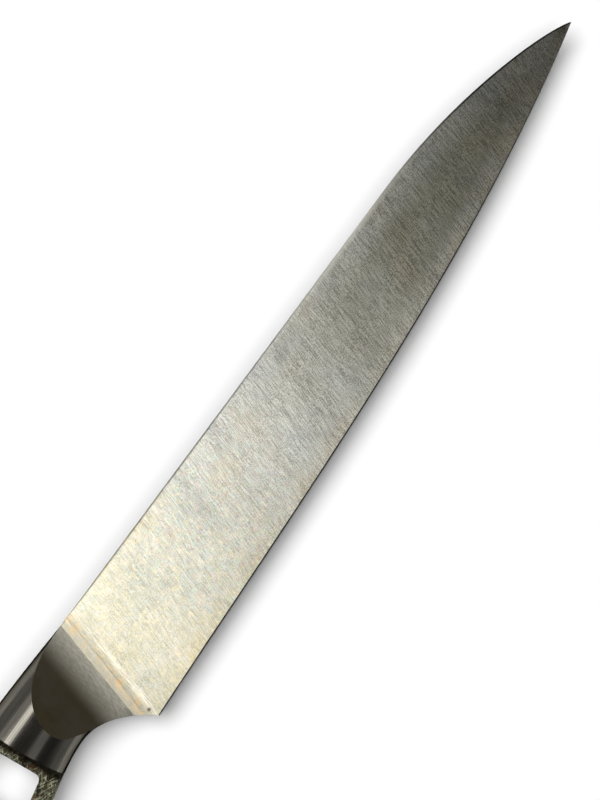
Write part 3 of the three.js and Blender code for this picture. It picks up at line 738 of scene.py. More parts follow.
@dataclass
class SideView:
    """The knife from the side: the sizes that its pieces share, in millimetres and degrees."""

    blade_length: float = 200.0
    heel_drop: float = 22.8
    tip_drop: float = 5.6
    spine_rise: float = 10.25
    spine_end_rise: float = 7.95
    spine_fall: float = 61.0
    spine_fall_lead: float = 31.0
    spine_tip_lead: float = 5.0
    spine_tip_slope: float = 42.0
    edge_heel_lead: float = 60.0
    edge_heel_slope: float = 2.4
    edge_tip_lead: float = 68.0
    edge_tip_slope: float = 13.0
    plunge_reach: float = 4.1
    plunge_lean: float = 15.5
    bolster_setback: float = 26.7
    rear_lean: float = 5.4
    neck_setback: float = 16.0
    neck_drop: float = 10.9
    choil_heel_lead: float = 6.6
    choil_heel_slope: float = 61.0
    choil_neck_lead: float = 7.0
    handle_length: float = 131.0
    crown_setback: float = 60.0
    crown_rise: float = 12.0
    crown_lead: float = 25.0
    back_lead: float = 16.0
    back_slope: float = 4.3
    shoulder_reach: float = 19.0
    shoulder_rise: float = 7.5
    shoulder_slope: float = 14.0
    shoulder_lead: float = 10.0
    butt_drop: float = 8.0
    butt_lead: float = 6.0
    hook_reach: float = 5.0
    hook_drop: float = 20.0
    hook_lead: float = 5.0
    hook_inner_lead: float = 8.0
    waist_reach: float = 35.0
    waist_drop: float = 13.8
    waist_lead: float = 13.0
    swell_setback: float = 52.0
    swell_drop: float = 16.2
    swell_lead: float = 14.0
    neck_lead: float = 11.0

    def __post_init__(self) -> None:
        """Draws the curves through the points that these sizes give."""
        heel = (0.0, -self.heel_drop)
        tip = (self.blade_length, -self.tip_drop)
        self.plunge_top = (self.plunge_reach, self.spine_rise)
        self.spine_end = (self.blade_length - self.spine_fall, self.spine_end_rise)
        neck = (-self.neck_setback, -self.neck_drop)
        crown = (-self.crown_setback, self.crown_rise)
        shoulder = (self.shoulder_reach - self.handle_length, self.shoulder_rise)
        butt = (-self.handle_length, -self.butt_drop)
        hook = (self.hook_reach - self.handle_length, -self.hook_drop)
        waist = (self.waist_reach - self.handle_length, -self.waist_drop)
        swell = (-self.swell_setback, -self.swell_drop)
        run, rise = np.subtract(self.spine_end, self.plunge_top)
        slope = math.degrees(math.atan2(rise, run))
        into_tip = (180 - self.spine_tip_slope, self.spine_tip_lead)
        self.fall = Sweep(self.spine_end, slope, self.spine_fall_lead, tip, *into_tip)
        into_tip = (180 + self.edge_tip_slope, self.edge_tip_lead)
        self.edge = Sweep(heel, self.edge_heel_slope, self.edge_heel_lead, tip, *into_tip)
        from_heel = (180 - self.choil_heel_slope, self.choil_heel_lead)
        self.choil = Sweep(heel, *from_heel, neck, 0, self.choil_neck_lead)
        from_plunge = (180 - self.back_slope, self.back_lead)
        self.back_front = Sweep(self.plunge_top, *from_plunge, crown, 0, self.crown_lead)
        into_shoulder = (self.shoulder_slope, self.shoulder_lead)
        self.back_rear = Sweep(crown, 180, self.crown_lead, shoulder, *into_shoulder)
        from_shoulder = (180 + self.shoulder_slope, self.shoulder_lead)
        butt_upper = Sweep(shoulder, *from_shoulder, butt, 90, self.butt_lead)
        butt_lower = Sweep(butt, 270, self.butt_lead, hook, 180, self.hook_lead)
        hook_inner = Sweep(hook, 0, self.hook_inner_lead, waist, 180, self.waist_lead)
        self.belly_rear = Sweep(waist, 0, self.waist_lead, swell, 180, self.swell_lead)
        self.belly_front = Sweep(swell, 0, self.swell_lead, neck, 180, self.neck_lead)
        upper = (self.back_front, self.back_rear, butt_upper)
        self.round = (*upper, butt_lower, hook_inner, self.belly_rear, self.belly_front)

    def spine(self, x: np.ndarray) -> np.ndarray:
        """Gives the height of the blade's spine at places along X."""
        ends = zip(self.plunge_top, self.spine_end)
        return np.where(x > self.spine_end[0], self.fall.height(x), np.interp(x, *ends))

    def back(self, x: np.ndarray) -> np.ndarray:
        """Gives the height of the back of the bolster and the handle."""
        return np.where(x > -self.crown_setback, self.back_front.height(x), self.back_rear.height(x))

    def belly(self, x: np.ndarray) -> np.ndarray:
        """Gives the height of the belly of the bolster and the handle."""
        behind = np.where(x > -self.swell_setback, self.belly_front.height(x), self.belly_rear.height(x))
        return np.where(x > -self.neck_setback, self.choil.height(x), behind)

    def plunge(self, y: np.ndarray) -> np.ndarray:
        """Gives the place along X of the plunge line, where the flank ends, at heights."""
        return self.plunge_reach - (self.spine_rise - y) * math.tan(math.radians(self.plunge_lean))

    def rear(self, y: np.ndarray) -> np.ndarray:
        """Gives the place along X of the bolster's rear face at heights."""
        return -self.bolster_setback - y * math.tan(math.radians(self.rear_lean))

    def handle(self, count: int) -> np.ndarray:
        """Draws the outline that the tang and the scales share, from the bolster's top round to its foot.

        Args:
            count: Points for each of the curves.

        Returns:
            Rows of x and y in millimetres.
        """
        return np.vstack([curve.points(count)[:-1] for curve in self.round] + [self.round[-1].end])


@contextmanager
def editing(mesh: bpy.types.Mesh) -> Iterator[bmesh.types.BMesh]:
    """Opens a mesh for edits, and writes them back at the end.

    Args:
        mesh: The mesh.

    Yields:
        Its editable form.
    """
    work = bmesh.new()
    work.from_mesh(mesh)
    yield work
    work.to_mesh(mesh)
    work.free()


def read_points(mesh: bpy.types.Mesh, what: str = "co") -> np.ndarray:
    """Reads the places of a mesh's points, or what else they have three numbers of.

    Args:
        mesh: The mesh.
        what: The property's name.

    Returns:
        A row for each point.
    """
    values = np.empty(len(mesh.vertices) * 3)
    mesh.vertices.foreach_get(what, values)
    return values.reshape(-1, 3)


def lift(plan: np.ndarray, z: np.ndarray | float) -> np.ndarray:
    """Gives points of the side view their distance from the middle plane."""
    return np.column_stack([plan, np.broadcast_to(z, len(plan))])


def circle(sides: int) -> np.ndarray:
    """Gives the points of a circle of radius 1."""
    turn = np.linspace(0, 2 * math.pi, sides, endpoint=False)
    return np.column_stack([np.cos(turn), np.sin(turn)])


def crease(mesh: bpy.types.Mesh, sharp: float) -> None:
    """Shades a mesh smooth, apart from the edges of this angle in degrees and more."""
    mesh.shade_smooth()
    mesh.set_sharp_from_angle(angle=math.radians(sharp))


def lay_uv(mesh: bpy.types.Mesh, lean: float) -> None:
    """Lays a UV map on a piece from above, with its U axis across the grind marks and a unit for each metre.

    Args:
        mesh: The piece's mesh.
        lean: How far the marks' lower ends lie back, in radians.
    """
    layer = mesh.uv_layers.new(name=UV_ACROSS)
    corners = np.empty(len(mesh.loops), dtype=int)
    mesh.loops.foreach_get("vertex_index", corners)
    x, y = read_points(mesh)[corners, :2].T
    u = x * math.cos(lean) - y * math.sin(lean)
    v = x * math.sin(lean) + y * math.cos(lean)
    layer.data.foreach_set("uv", np.column_stack([u, v]).ravel())


def show(data: bpy.types.ID) -> bpy.types.Object:
    """Puts a mesh, a lamp or a camera into the scene.

    Args:
        data: What is put there.

    Returns:
        The object, with the same name.
    """
    piece = bpy.data.objects.new(data.name, data)
    bpy.context.scene.collection.objects.link(piece)
    return piece


def modify(piece: bpy.types.Object, kind: str, **settings: Any) -> None:
    """Gives a piece a modifier.

    Args:
        piece: The piece.
        kind: The modifier's type.
        settings: Its properties.
    """
    modifier = piece.modifiers.new(kind.lower(), kind)
    for name, value in settings.items():
        setattr(modifier, name, value)


def settle(piece: bpy.types.Object) -> None:
    """Turns what a piece's modifiers make into its plain mesh, and removes them.

    Args:
        piece: The piece.
    """
    graph = bpy.context.evaluated_depsgraph_get()
    made = bpy.data.meshes.new_from_object(piece.evaluated_get(graph))
    piece.modifiers.clear()
    old = piece.data
    piece.data = made
    bpy.data.meshes.remove(old)
    made.name = piece.name


def even_out(piece: bpy.types.Object, grain: float, rounds: int) -> None:
    """Rebuilds a piece's mesh in even cells, and smooths it.

    Args:
        piece: The piece.
        grain: The cells' size, in millimetres.
        rounds: How often it is smoothed.
    """
    modify(piece, "REMESH", mode="VOXEL", voxel_size=grain * MM)
    modify(piece, "SMOOTH", factor=0.5, iterations=rounds)
    settle(piece)


def fasten(piece: bpy.types.Object, slot: str, *nodes: str) -> None:
    """Makes a piece stand for its nodes in the frame.

    Args:
        piece: The finished piece.
        slot: The record's material slot; not used.
        nodes: The nodes that the piece replaces.
    """
    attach(piece, BODY)
    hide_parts(*nodes)
    log.info("%s: %d faces, stands for %s", piece.name, len(piece.data.polygons), ", ".join(nodes))


class Skin:
    """A mesh in the making, from points in millimetres."""

    def __init__(self, datum: Datum) -> None:
        """Starts an empty skin.

        Args:
            datum: Where its points lie in the frame.
        """
        self.datum = datum
        self.points: list[np.ndarray] = []
        self.faces: list[tuple[int, ...]] = []
        self.finishes: list[int] = []

    def cover(self, rows: np.ndarray, closed: bool = False, finish: int = 0) -> None:
        """Covers a grid of points with faces.

        Args:
            rows: The points, with x, y and z along the last axis.
            closed: True if each row's last point is joined to its first.
            finish: The number of the faces' material.
        """
        first = sum(len(block) for block in self.points)
        self.points.append(rows.reshape(-1, 3))
        grid = np.arange(first, first + len(self.points[-1])).reshape(rows.shape[:-1])
        beyond = np.roll(grid, -1, axis=1) if closed else grid[:, 1:]
        here = grid if closed else grid[:, :-1]
        quads = np.stack([here[:-1], beyond[:-1], beyond[1:], here[1:]], axis=-1).reshape(-1, 4)
        self.faces.extend(map(tuple, quads.tolist()))
        self.finishes.extend([finish] * len(quads))

    def mesh(self, name: str, sharp: float) -> bpy.types.Mesh:
        """Closes the skin and turns its faces outwards.

        Args:
            name: The mesh's name.
            sharp: The angle in degrees from which an edge shows as a crease.

        Returns:
            The mesh, in the frame.
        """
        mesh = bpy.data.meshes.new(name)
        mesh.from_pydata(self.datum.place(np.vstack(self.points)), [], self.faces)
        mesh.polygons.foreach_set("material_index", self.finishes)
        with editing(mesh) as work:
            bmesh.ops.remove_doubles(work, verts=work.verts, dist=SAME_POINT)
            bmesh.ops.dissolve_degenerate(work, edges=work.edges, dist=SAME_POINT)
            bmesh.ops.holes_fill(work, edges=[edge for edge in work.edges if edge.is_boundary])
            bmesh.ops.recalc_face_normals(work, faces=work.faces)
        crease(mesh, sharp)
        return mesh


@dataclass
class Blade:
    """The blade: flat flanks between an eased spine and a sharpened edge, from the plunge line to the tip."""

    view: SideView
    datum: Datum
    spine_thickness: float = 2.5  # at the bolster
    spine_tip_thickness: float = 1.1
    edge_thickness: float = 0.4  # behind the bevel
    bevel_height: float = 0.4
    spine_ease: float = 0.6  # radius of the spine's corners
    plunge_ease: float = 0.12  # the same radius at the plunge line, where the spine meets the bolster
    ease_run: float = 14.0  # how far from the plunge line the spine's corners reach their full radius
    choil_ease: float = 0.09  # radius of the choil's corners
    lip_reach: float = 2.3  # how far ahead of the plunge line the wheel's last pass reached
    lip_rise: float = 0.055  # how much that pass left standing at the plunge line
    lip_hollow: float = 1.3  # exponent of its fall: 1 is straight
    lip_groove: float = 0.012  # depth of the line that the wheel's corner cut at its end
    groove_width: float = 0.5
    mark_lean: float = 17.0  # degrees that the grind marks' lower ends lie back
    stain_at: tuple[float, float] = (-0.15, -19.7)  # middle of the stain, x and y
    choil_rows: int = 36
    edge_rows: int = 260
    tip_crowding: float = 1.5  # how much closer the rows lie towards the tip
    ease_steps: int = 8
    flank_steps: int = 14
    crease_angle: float = 16.0

    def spine_half(self, x: float) -> float:
        """Gives half the thickness of the spine at a place along X."""
        ends = [self.view.plunge_reach, self.view.blade_length]
        return float(np.interp(x, ends, [self.spine_thickness / 2, self.spine_tip_thickness / 2]))

    def flank_half(self, x: float, y: float) -> float:
        """Gives half the thickness between the flanks.

        Args:
            x: The place along X.
            y: The height in the side view.

        Returns:
            Half the thickness there.
        """
        foot = float(self.view.edge.height(x)) + self.bevel_height
        share = (y - foot) / (float(self.view.spine(x)) - foot)
        return self.edge_thickness / 2 + share * (self.spine_half(x) - self.edge_thickness / 2)

    def lip(self, ahead: np.ndarray) -> np.ndarray:
        """Gives what the wheel's last pass left on the flank.

        Args:
            ahead: Distances ahead of the plunge line.

        Returns:
            Heights over the flat flank.
        """
        standing = self.lip_rise * np.clip(1 - ahead / self.lip_reach, 0, 1) ** self.lip_hollow
        groove = np.exp(-(((ahead - self.lip_reach) / (self.groove_width / 2)) ** 2))
        return standing - self.lip_groove * groove

    def ring(self, top: np.ndarray, foot: np.ndarray, choil: bool) -> np.ndarray:
        """Makes the blade's section along a line from spine to edge.

        Args:
            top: The line's end on the spine, x and y.
            foot: Its end on the edge or the choil.
            choil: True if the foot lies on the choil's wall.

        Returns:
            The section's points, once round.
        """
        tall = float(np.linalg.norm(foot - top))
        way = (foot - top) / max(tall, SAME_POINT)
        half = min(self.spine_half(top[0]), tall / 2)
        grown = np.clip((top[0] - self.view.plunge_reach) / self.ease_run, 0, 1)
        # Towards the tip the section shrinks, and its corners and its bevel with it.
        ease = min(self.plunge_ease + grown * (self.spine_ease - self.plunge_ease), 0.75 * half, tall / 4)
        bevel = self.choil_ease if choil else min(self.bevel_height, tall / 4)
        shoulder = self.flank_half(*foot) if choil else min(self.edge_thickness / 2, half / 2)
        turn = np.linspace(0, math.pi / 2, self.ease_steps + 1)
        down = np.linspace(ease, tall - bevel, self.flank_steps + 1)[1:]
        flank = np.interp(down, [ease, tall - bevel], [half, shoulder])
        wall = (tall, shoulder - bevel) if choil else (tall - bevel / 2, shoulder / 2)
        fall = np.concatenate([ease * (1 - np.cos(turn)), down, [wall[0], tall]])
        out = np.concatenate([half - ease * (1 - np.sin(turn)), flank, [wall[1], 0.0]])
        plan = top + fall[:, None] * way
        ahead = plan[:, 0] - self.view.plunge(plan[:, 1])
        outer = slice(self.ease_steps, len(turn) + len(down))
        out[outer] += self.lip(ahead[outer])
        near = lift(plan, out)
        return np.vstack([near, near[:-1][::-1] * MIRROR])

    def sections(self) -> np.ndarray:
        """Lays the sections out from the plunge line to the tip.

        Returns:
            The sections' points, a row for each section.
        """
        view = self.view
        line = view.choil.points(CURVE_SAMPLES)[::-1]
        ahead = line[:, 0] - view.plunge(line[:, 1])
        rings = []
        for step in np.linspace(0, ahead[-1], self.choil_rows):
            top_x = view.plunge_reach + step
            foot = np.array([np.interp(step, ahead, line[:, 0]), np.interp(step, ahead, line[:, 1])])
            rings.append(self.ring(np.array([top_x, float(view.spine(top_x))]), foot, True))
        for share in np.linspace(0, 1, self.edge_rows):
            run = 1 - (1 - share) ** self.tip_crowding
            top_x = view.plunge_reach + ahead[-1]
            top_x += run * (view.blade_length - top_x)
            foot_x = run * view.blade_length
            top = np.array([top_x, float(view.spine(top_x))])
            rings.append(self.ring(top, np.array([foot_x, float(view.edge.height(foot_x))]), False))
        return np.array(rings)

    def build(self) -> bpy.types.Object:
        """Builds the blade.

        Returns:
            The undressed piece.
        """
        skin = Skin(self.datum)
        skin.cover(self.sections(), closed=True)
        mesh = skin.mesh("ground_blade", self.crease_angle)
        lay_uv(mesh, math.radians(self.mark_lean))
        self.measure(mesh)
        return show(mesh)

    def measure(self, mesh: bpy.types.Mesh) -> None:
        """Notes on each point how far below the spine and above the edge it lies, in millimetres.

        Args:
            mesh: The blade's mesh.
        """
        x, y = ((read_points(mesh) - self.datum.place(np.zeros(3))) / MM)[:, :2].T
        gaps = {BELOW_SPINE: self.view.spine(x) - y, ABOVE_EDGE: y - self.view.edge.height(x)}
        for name, gap in gaps.items():
            mesh.attributes.new(name, "FLOAT", "POINT").data.foreach_set("value", np.maximum(gap, 0))

    def plunge_line(self) -> tuple[Vector, Vector]:
        """Gives a point of the plunge line in the frame, and the direction ahead and square to it.

        Returns:
            The point and the direction.
        """
        top = np.array([*self.view.plunge_top, 0])
        turn = math.radians(self.view.plunge_lean)
        return Vector(self.datum.place(top)), Vector((math.cos(turn), -math.sin(turn), 0.0))

    def dress(self, piece: bpy.types.Object) -> None:
        """Gives the blade its finish and its place in the frame.

        Args:
            piece: The blade.
        """
        points = np.array([[0, -self.view.heel_drop, 0], [*self.stain_at, self.flank_half(*self.stain_at)]])
        heel, stain = (Vector(point) for point in self.datum.place(points))
        steel = GroundSteel().material(heel, *self.plunge_line(), stain, math.radians(self.mark_lean))
        piece.data.materials.append(steel)
        fasten(piece, "blade_steel", "blade")


@dataclass
class Bolster:
    """The bolster: an oval barrel with a scoop hollowed into each side, down to the blade's flank."""

    view: SideView
    blade: Blade
    datum: Datum
    thickness: float = 16.0
    back_fullness: float = 1.9  # exponent of the oval's upper half: 2 is an ellipse, more is squarer
    belly_fullness: float = 2.2
    choil_fullness: float = 4.5  # at the foot of the choil, an upright wall
    plunge_radius: float = 13.6  # the rounded foot of the scoop, along the plunge line
    scoop_start: float = 14.0  # degrees, the scoop's slope where that round ends
    scoop_radius: float = 60.0  # of the wheel that hollows it
    rear_ease: float = 0.22  # chamfer round the rear face
    crest_ease: float = 0.06  # width of the softened edge between scoop and barrel
    crest_angle: float = 8.0  # degrees, below which that edge needs no softening
    crest_steps: int = 3
    sides: int = 150  # points round half of the barrel
    crowding: float = 0.32  # how much closer they lie at the back and the belly
    barrel_rows: int = 46
    scoop_rows: int = 40
    crease_angle: float = 30.0

    def oval(self, x: np.ndarray, turn: np.ndarray) -> tuple[np.ndarray, np.ndarray]:
        """Gives the barrel's surface.

        Args:
            x: Places along X.
            turn: Angles round the axis, from the back, for each place.

        Returns:
            The surface's y and z there.
        """
        foot = float(self.view.plunge(np.array(-self.view.heel_drop)))
        share = np.clip((x + self.view.neck_setback) / (foot + self.view.neck_setback), 0, 1)
        share = share * share * (3 - 2 * share)
        belly = self.belly_fullness + share * (self.choil_fullness - self.belly_fullness)
        rise, out = np.cos(turn), np.abs(np.sin(turn))
        above = rise > 0
        power = 2 / np.where(above, self.back_fullness, belly)
        reach = np.where(above, self.view.back(x), self.view.belly(x))
        return reach * np.abs(rise) ** power, self.thickness / 2 * out**power

    def scoop(self, x: np.ndarray, y: np.ndarray) -> np.ndarray:
        """Gives the height of the scoop's surface over the middle plane.

        Args:
            x: Places along X, behind the plunge line.
            y: Heights of the side view.

        Returns:
            The surface's z.
        """
        behind = np.maximum(self.view.plunge(y) - x, 0)
        start = math.radians(self.scoop_start)
        round_end = self.plunge_radius * math.sin(start)
        foot = self.plunge_radius - np.sqrt(self.plunge_radius**2 - np.minimum(behind, round_end) ** 2)
        past = np.minimum(np.maximum(behind - round_end, 0), self.scoop_radius / 2)
        hollow = self.scoop_radius * math.cos(start)
        hollow = hollow - np.sqrt(self.scoop_radius**2 - (self.scoop_radius * math.sin(start) + past) ** 2)
        middle = self.blade.flank_half(float(self.view.plunge(np.array(0.0))), 0.0)
        top = self.blade.flank_half(*self.view.plunge_top)
        lip = float(self.blade.lip(np.array(0.0)))
        return middle + (top - middle) * y / self.view.spine_rise + lip + foot + hollow

    def meet(self, turn: np.ndarray, front: np.ndarray | float, gap: Callable) -> np.ndarray:
        """Finds where the lines along the barrel at each angle meet a surface.

        Args:
            turn: The angles round the axis.
            front: The places where the search starts, in front.
            gap: A function of x and of the barrel's y and z there, above 0 behind the surface.

        Returns:
            The places along X.
        """
        low = np.full_like(turn, -2 * self.view.bolster_setback)
        high = np.broadcast_to(front, turn.shape).astype(float)
        for _ in range(HALVINGS):
            middle = (low + high) / 2
            behind = gap(middle, *self.oval(middle, turn)) > 0
            low = np.where(behind, middle, low)
            high = np.where(behind, high, middle)
        return (low + high) / 2

    def build(self) -> bpy.types.Object:
        """Builds the bolster: the barrel up to the crest, and the scoops from the crest to the plunge line.

        Returns:
            The undressed piece.
        """
        view = self.view
        # The angles crowd at the back and the belly, where the crest runs out along the barrel.
        even = np.linspace(0, math.pi, self.sides)
        turn = even - self.crowding * np.sin(2 * even)
        front = self.meet(turn, view.plunge_reach, lambda x, y, z: view.plunge(y) - x)
        rear = self.meet(turn, 0.0, lambda x, y, z: view.rear(y) - x)
        crest = np.minimum(self.meet(turn, front, lambda x, y, z: self.scoop(x, y) - z), front)
        shares = np.linspace(0, 1, self.barrel_rows)[:, None]
        along = (rear + self.rear_ease) + shares * (crest - rear - self.rear_ease)
        y, z = self.oval(along, np.broadcast_to(turn, along.shape))
        inset = 1 - 2 * self.rear_ease / self.thickness
        lip = np.stack([rear, *(side * inset for side in self.oval(rear, turn))], axis=-1)
        half = np.concatenate([lip[None], np.stack([along, y, z], axis=-1)])
        skin = Skin(self.datum)
        whole = np.concatenate([half, half[:, -2:0:-1] * MIRROR], axis=1)
        skin.cover(whole, closed=True, finish=Surface.BARREL.value)
        plunge = np.maximum(view.plunge(y[-1]), crest)
        scoop_x = crest + np.linspace(0, 1, self.scoop_rows)[:, None] * (plunge - crest)
        scoop_y = np.broadcast_to(y[-1], scoop_x.shape)
        scoop_z = np.minimum(self.scoop(scoop_x, scoop_y), z[-1])
        scoop_z[0] = z[-1]
        patch = np.stack([scoop_x, scoop_y, scoop_z], axis=-1)
        for side in Side:
            skin.cover(patch * np.array([1, 1, side.value]), finish=Surface.SCOOP.value)
        piece = show(skin.mesh("bolster_barrel_and_scoop", self.crease_angle))
        self.soften_crest(piece)
        lay_uv(piece.data, math.radians(self.blade.mark_lean))
        return piece

    def soften_crest(self, piece: bpy.types.Object) -> None:
        """Rounds the edge between each scoop and the barrel a little, as a polishing wheel does.

        Args:
            piece: The bolster.
        """
        with editing(piece.data) as work:
            weight = work.edges.layers.float.new("bevel_weight_edge")
            for edge in self.borders(work):
                if edge.calc_face_angle(0) > math.radians(self.crest_angle):
                    edge[weight] = 1.0
        for _ in Surface:  # places for the finishes, which the bevel's faces are given by number
            piece.data.materials.append(None)
        bevel = {"width": self.crest_ease * MM, "segments": self.crest_steps, "limit_method": "WEIGHT"}
        modify(piece, "BEVEL", **bevel, material=Surface.SCOOP.value)
        settle(piece)
        crease(piece.data, self.crease_angle)
        # The polish ends in a clean line, so that the barrel's reflections don't turn in at the crest.
        with editing(piece.data) as work:
            for edge in self.borders(work):
                edge.smooth = False

    def borders(self, work: bmesh.types.BMesh) -> list[bmesh.types.BMEdge]:
        """Lists the edges between the bolster's two finishes."""
        return [edge for edge in work.edges if len({face.material_index for face in edge.link_faces}) == 2]

    def dress(self, piece: bpy.types.Object) -> None:
        """Gives the bolster its two finishes and its place in the frame.

        Args:
            piece: The bolster.
        """
        satin = SatinSteel().material(*self.blade.plunge_line(), math.radians(self.blade.mark_lean))
        piece.data.materials[Surface.BARREL.value] = PolishedSteel().material()
        piece.data.materials[Surface.SCOOP.value] = satin
        fasten(piece, "bolster_steel", "bolster")


@dataclass
class Handle:
    """Sizes that the tang, the scales and the rivets share."""

    view: SideView
    datum: Datum
    tang_thickness: float = 3.6
    scale_thickness: float = 6.2
    cross_wall: float = 3.5  # between the bolster and the open window
    window_length: float = 12.0
    scale_lip: float = 1.8  # from the open window back to the scales
    rivet_front_margin: float = 13.0  # front of the scales to the front rivet
    rivet_rear_margin: float = 20.0  # butt to the rear rivet
    sleeve_radius: float = 2.9
    head_radius: float = 4.0
    head_height: float = 2.0
    clearance: float = 0.15  # round each rivet
    half: float = field(init=False)
    window_rear: float = field(init=False)
    scale_front: float = field(init=False)

    def __post_init__(self) -> None:
        """Works out the sizes that follow from the others."""
        self.half = self.tang_thickness / 2 + self.scale_thickness
        self.window_rear = -(self.view.bolster_setback + self.cross_wall + self.window_length)
        self.scale_front = self.window_rear - self.scale_lip

    def rivets(self) -> np.ndarray:
        """Gives the middles of the three rivets, from the front.

        Returns:
            Rows of x and y in millimetres.
        """
        front = self.scale_front - self.rivet_front_margin
        rear = self.rivet_rear_margin - self.view.handle_length
        x = np.linspace(front, rear, 3)
        return np.column_stack([x, (self.view.back(x) + self.view.belly(x)) / 2])


@dataclass
class Tang:
    """The tang: a coarse-ground plate with rails round its windows, open to view behind the bolster."""

    handle: Handle
    rail: float = 5.4  # width of the plate beside its windows
    rivet_bar: float = 12.0  # length of the cross bar that carries a rivet
    window_corner: float = 1.4  # radius
    edge_round: float = 1.1
    round_angle: float = 60.0  # degrees, the least angle of an edge that is rounded
    round_steps: int = 5
    grain: float = 0.28  # size of the mesh's cells
    smoothing: int = 3  # rounds, which wear the edges
    wave_size: float = 2.2  # length of the coarse wheel's unevenness
    wave_depth: float = 0.07
    pit_size: float = 0.55
    pit_depth: float = 0.035
    curve_steps: int = 40
    corner_steps: int = 9
    hole_sides: int = 48
    crease_angle: float = 70.0

    def outline(self) -> np.ndarray:
        """Draws the plate's outline behind the bolster's rear face.

        Returns:
            Rows of x and y in millimetres.
        """
        view = self.handle.view
        line = view.handle(self.curve_steps)
        behind = line[line[:, 0] < view.rear(line[:, 1])]
        ends = []
        for side in (view.back, view.belly):
            y = float(side(view.rear(side(np.array(-view.bolster_setback)))))
            ends.append([float(view.rear(y)), y])
        return np.vstack([ends[0], behind, ends[1]])

    def window(self, front: Callable, rear: Callable) -> np.ndarray:
        """Draws a window between two lines, a rail's width inside the outline, with round corners.

        Args:
            front: A function that gives the front line's x at a height.
            rear: The same for the rear line.

        Returns:
            Rows of x and y in millimetres, once round.
        """
        view = self.handle.view
        shares = np.linspace(0, 1, self.curve_steps)
        x = float(rear(0.0)) + shares * (float(front(0.0)) - float(rear(0.0)))
        sides = []
        for height in (view.back(x) - self.rail, view.belly(x) + self.rail):
            lean = (1 - shares) * (rear(height) - rear(0.0)) + shares * (front(height) - front(0.0))
            sides.append(np.column_stack([x + lean, height]))
        ceiling, floor = sides[0], sides[1][::-1]
        loop = []
        for side, other in ((ceiling, floor), (floor, ceiling)):
            body = side[1:-1]
            for end in (side[0], side[-1]):
                body = body[np.linalg.norm(body - end, axis=1) > self.window_corner]
            loop.append(self.corner(other[-1], side[0], body[0]))
            loop.append(body)
            loop.append(self.corner(body[-1], side[-1], other[0]))
        return np.vstack(loop)

    def corner(self, before: np.ndarray, corner: np.ndarray, after: np.ndarray) -> np.ndarray:
        """Rounds a corner of a window.

        Args:
            before: A point on the way to the corner.
            corner: The corner.
            after: A point on the way from it.

        Returns:
            Points of the round, in order.
        """
        enter = corner + (before - corner) / np.linalg.norm(before - corner) * self.window_corner
        leave = corner + (after - corner) / np.linalg.norm(after - corner) * self.window_corner
        t = np.linspace(0, 1, self.corner_steps)[:, None]
        return (1 - t) ** 2 * enter + 2 * t * (1 - t) * corner + t**2 * leave

    def loops(self) -> list[np.ndarray]:
        """Lists the outline, the windows and the rivet holes.

        Returns:
            Closed lines of x and y in millimetres.
        """
        handle = self.handle
        face, rear = handle.view.rear, handle.window_rear
        loops = [self.outline()]
        loops.append(self.window(lambda y: face(y) - handle.cross_wall, lambda y, x=rear: x + 0 * y))
        rivets = handle.rivets()
        for ahead, behind in zip(rivets[:-1, 0], rivets[1:, 0]):
            front, rear = ahead - self.rivet_bar / 2, behind + self.rivet_bar / 2
            loops.append(self.window(lambda y, x=front: x + 0 * y, lambda y, x=rear: x + 0 * y))
        hole = (handle.sleeve_radius + handle.clearance) * circle(self.hole_sides)
        loops.extend(centre + hole for centre in rivets)
        return loops

    def build(self) -> bpy.types.Object:
        """Builds the plate, with the unevenness that the coarse wheel left on it.

        Returns:
            The undressed piece.
        """
        half = self.handle.tang_thickness / 2
        mesh = bpy.data.meshes.new("coarse_tang")
        with editing(mesh) as work:
            for loop in self.loops():
                verts = [work.verts.new(point) for point in self.handle.datum.place(lift(loop, half))]
                for start, end in zip(verts, verts[1:] + verts[:1]):
                    work.edges.new((start, end))
            bmesh.ops.remove_doubles(work, verts=work.verts, dist=SAME_POINT)
            bmesh.ops.triangle_fill(work, edges=work.edges, use_beauty=True, use_dissolve=False)
            made = bmesh.ops.extrude_face_region(work, geom=work.faces[:])
            lower = [part for part in made["geom"] if isinstance(part, bmesh.types.BMVert)]
            bmesh.ops.translate(work, verts=lower, vec=(0, 0, -2 * half * MM))
            bmesh.ops.recalc_face_normals(work, faces=work.faces)
        piece = show(mesh)
        bevel = {"width": self.edge_round * MM, "segments": self.round_steps, "limit_method": "ANGLE"}
        modify(piece, "BEVEL", **bevel, angle_limit=math.radians(self.round_angle))
        even_out(piece, self.grain, self.smoothing)
        self.roughen(piece.data)
        crease(piece.data, self.crease_angle)
        return piece

    def roughen(self, mesh: bpy.types.Mesh) -> None:
        """Sinks the wheel's unevenness into the plate.

        Args:
            mesh: The plate's mesh.
        """
        places, normals = read_points(mesh), read_points(mesh, "normal")
        depth = np.zeros(len(places))
        for size, deep in ((self.wave_size, self.wave_depth), (self.pit_size, self.pit_depth)):
            level = [noise.noise(place) for place in places / (size * MM)]
            depth += (1 - np.array(level)) / 2 * deep
        mesh.vertices.foreach_set("co", (places - normals * depth[:, None] * MM).ravel())
        mesh.update()

    def dress(self, piece: bpy.types.Object) -> None:
        """Gives the tang its finish and its place in the frame.

        Args:
            piece: The tang.
        """
        view = self.handle.view
        corner = Vector(self.handle.datum.place(np.array([-view.bolster_setback, 0.0, 0.0])))
        turn = math.radians(view.rear_lean)
        back = Vector((-math.cos(turn), -math.sin(turn), 0.0))
        steel = CoarseSteel().material(corner, back, self.handle.tang_thickness / 2 * MM)
        piece.data.materials.clear()
        piece.data.materials.append(steel)
        fasten(piece, "tang_steel", "tang")


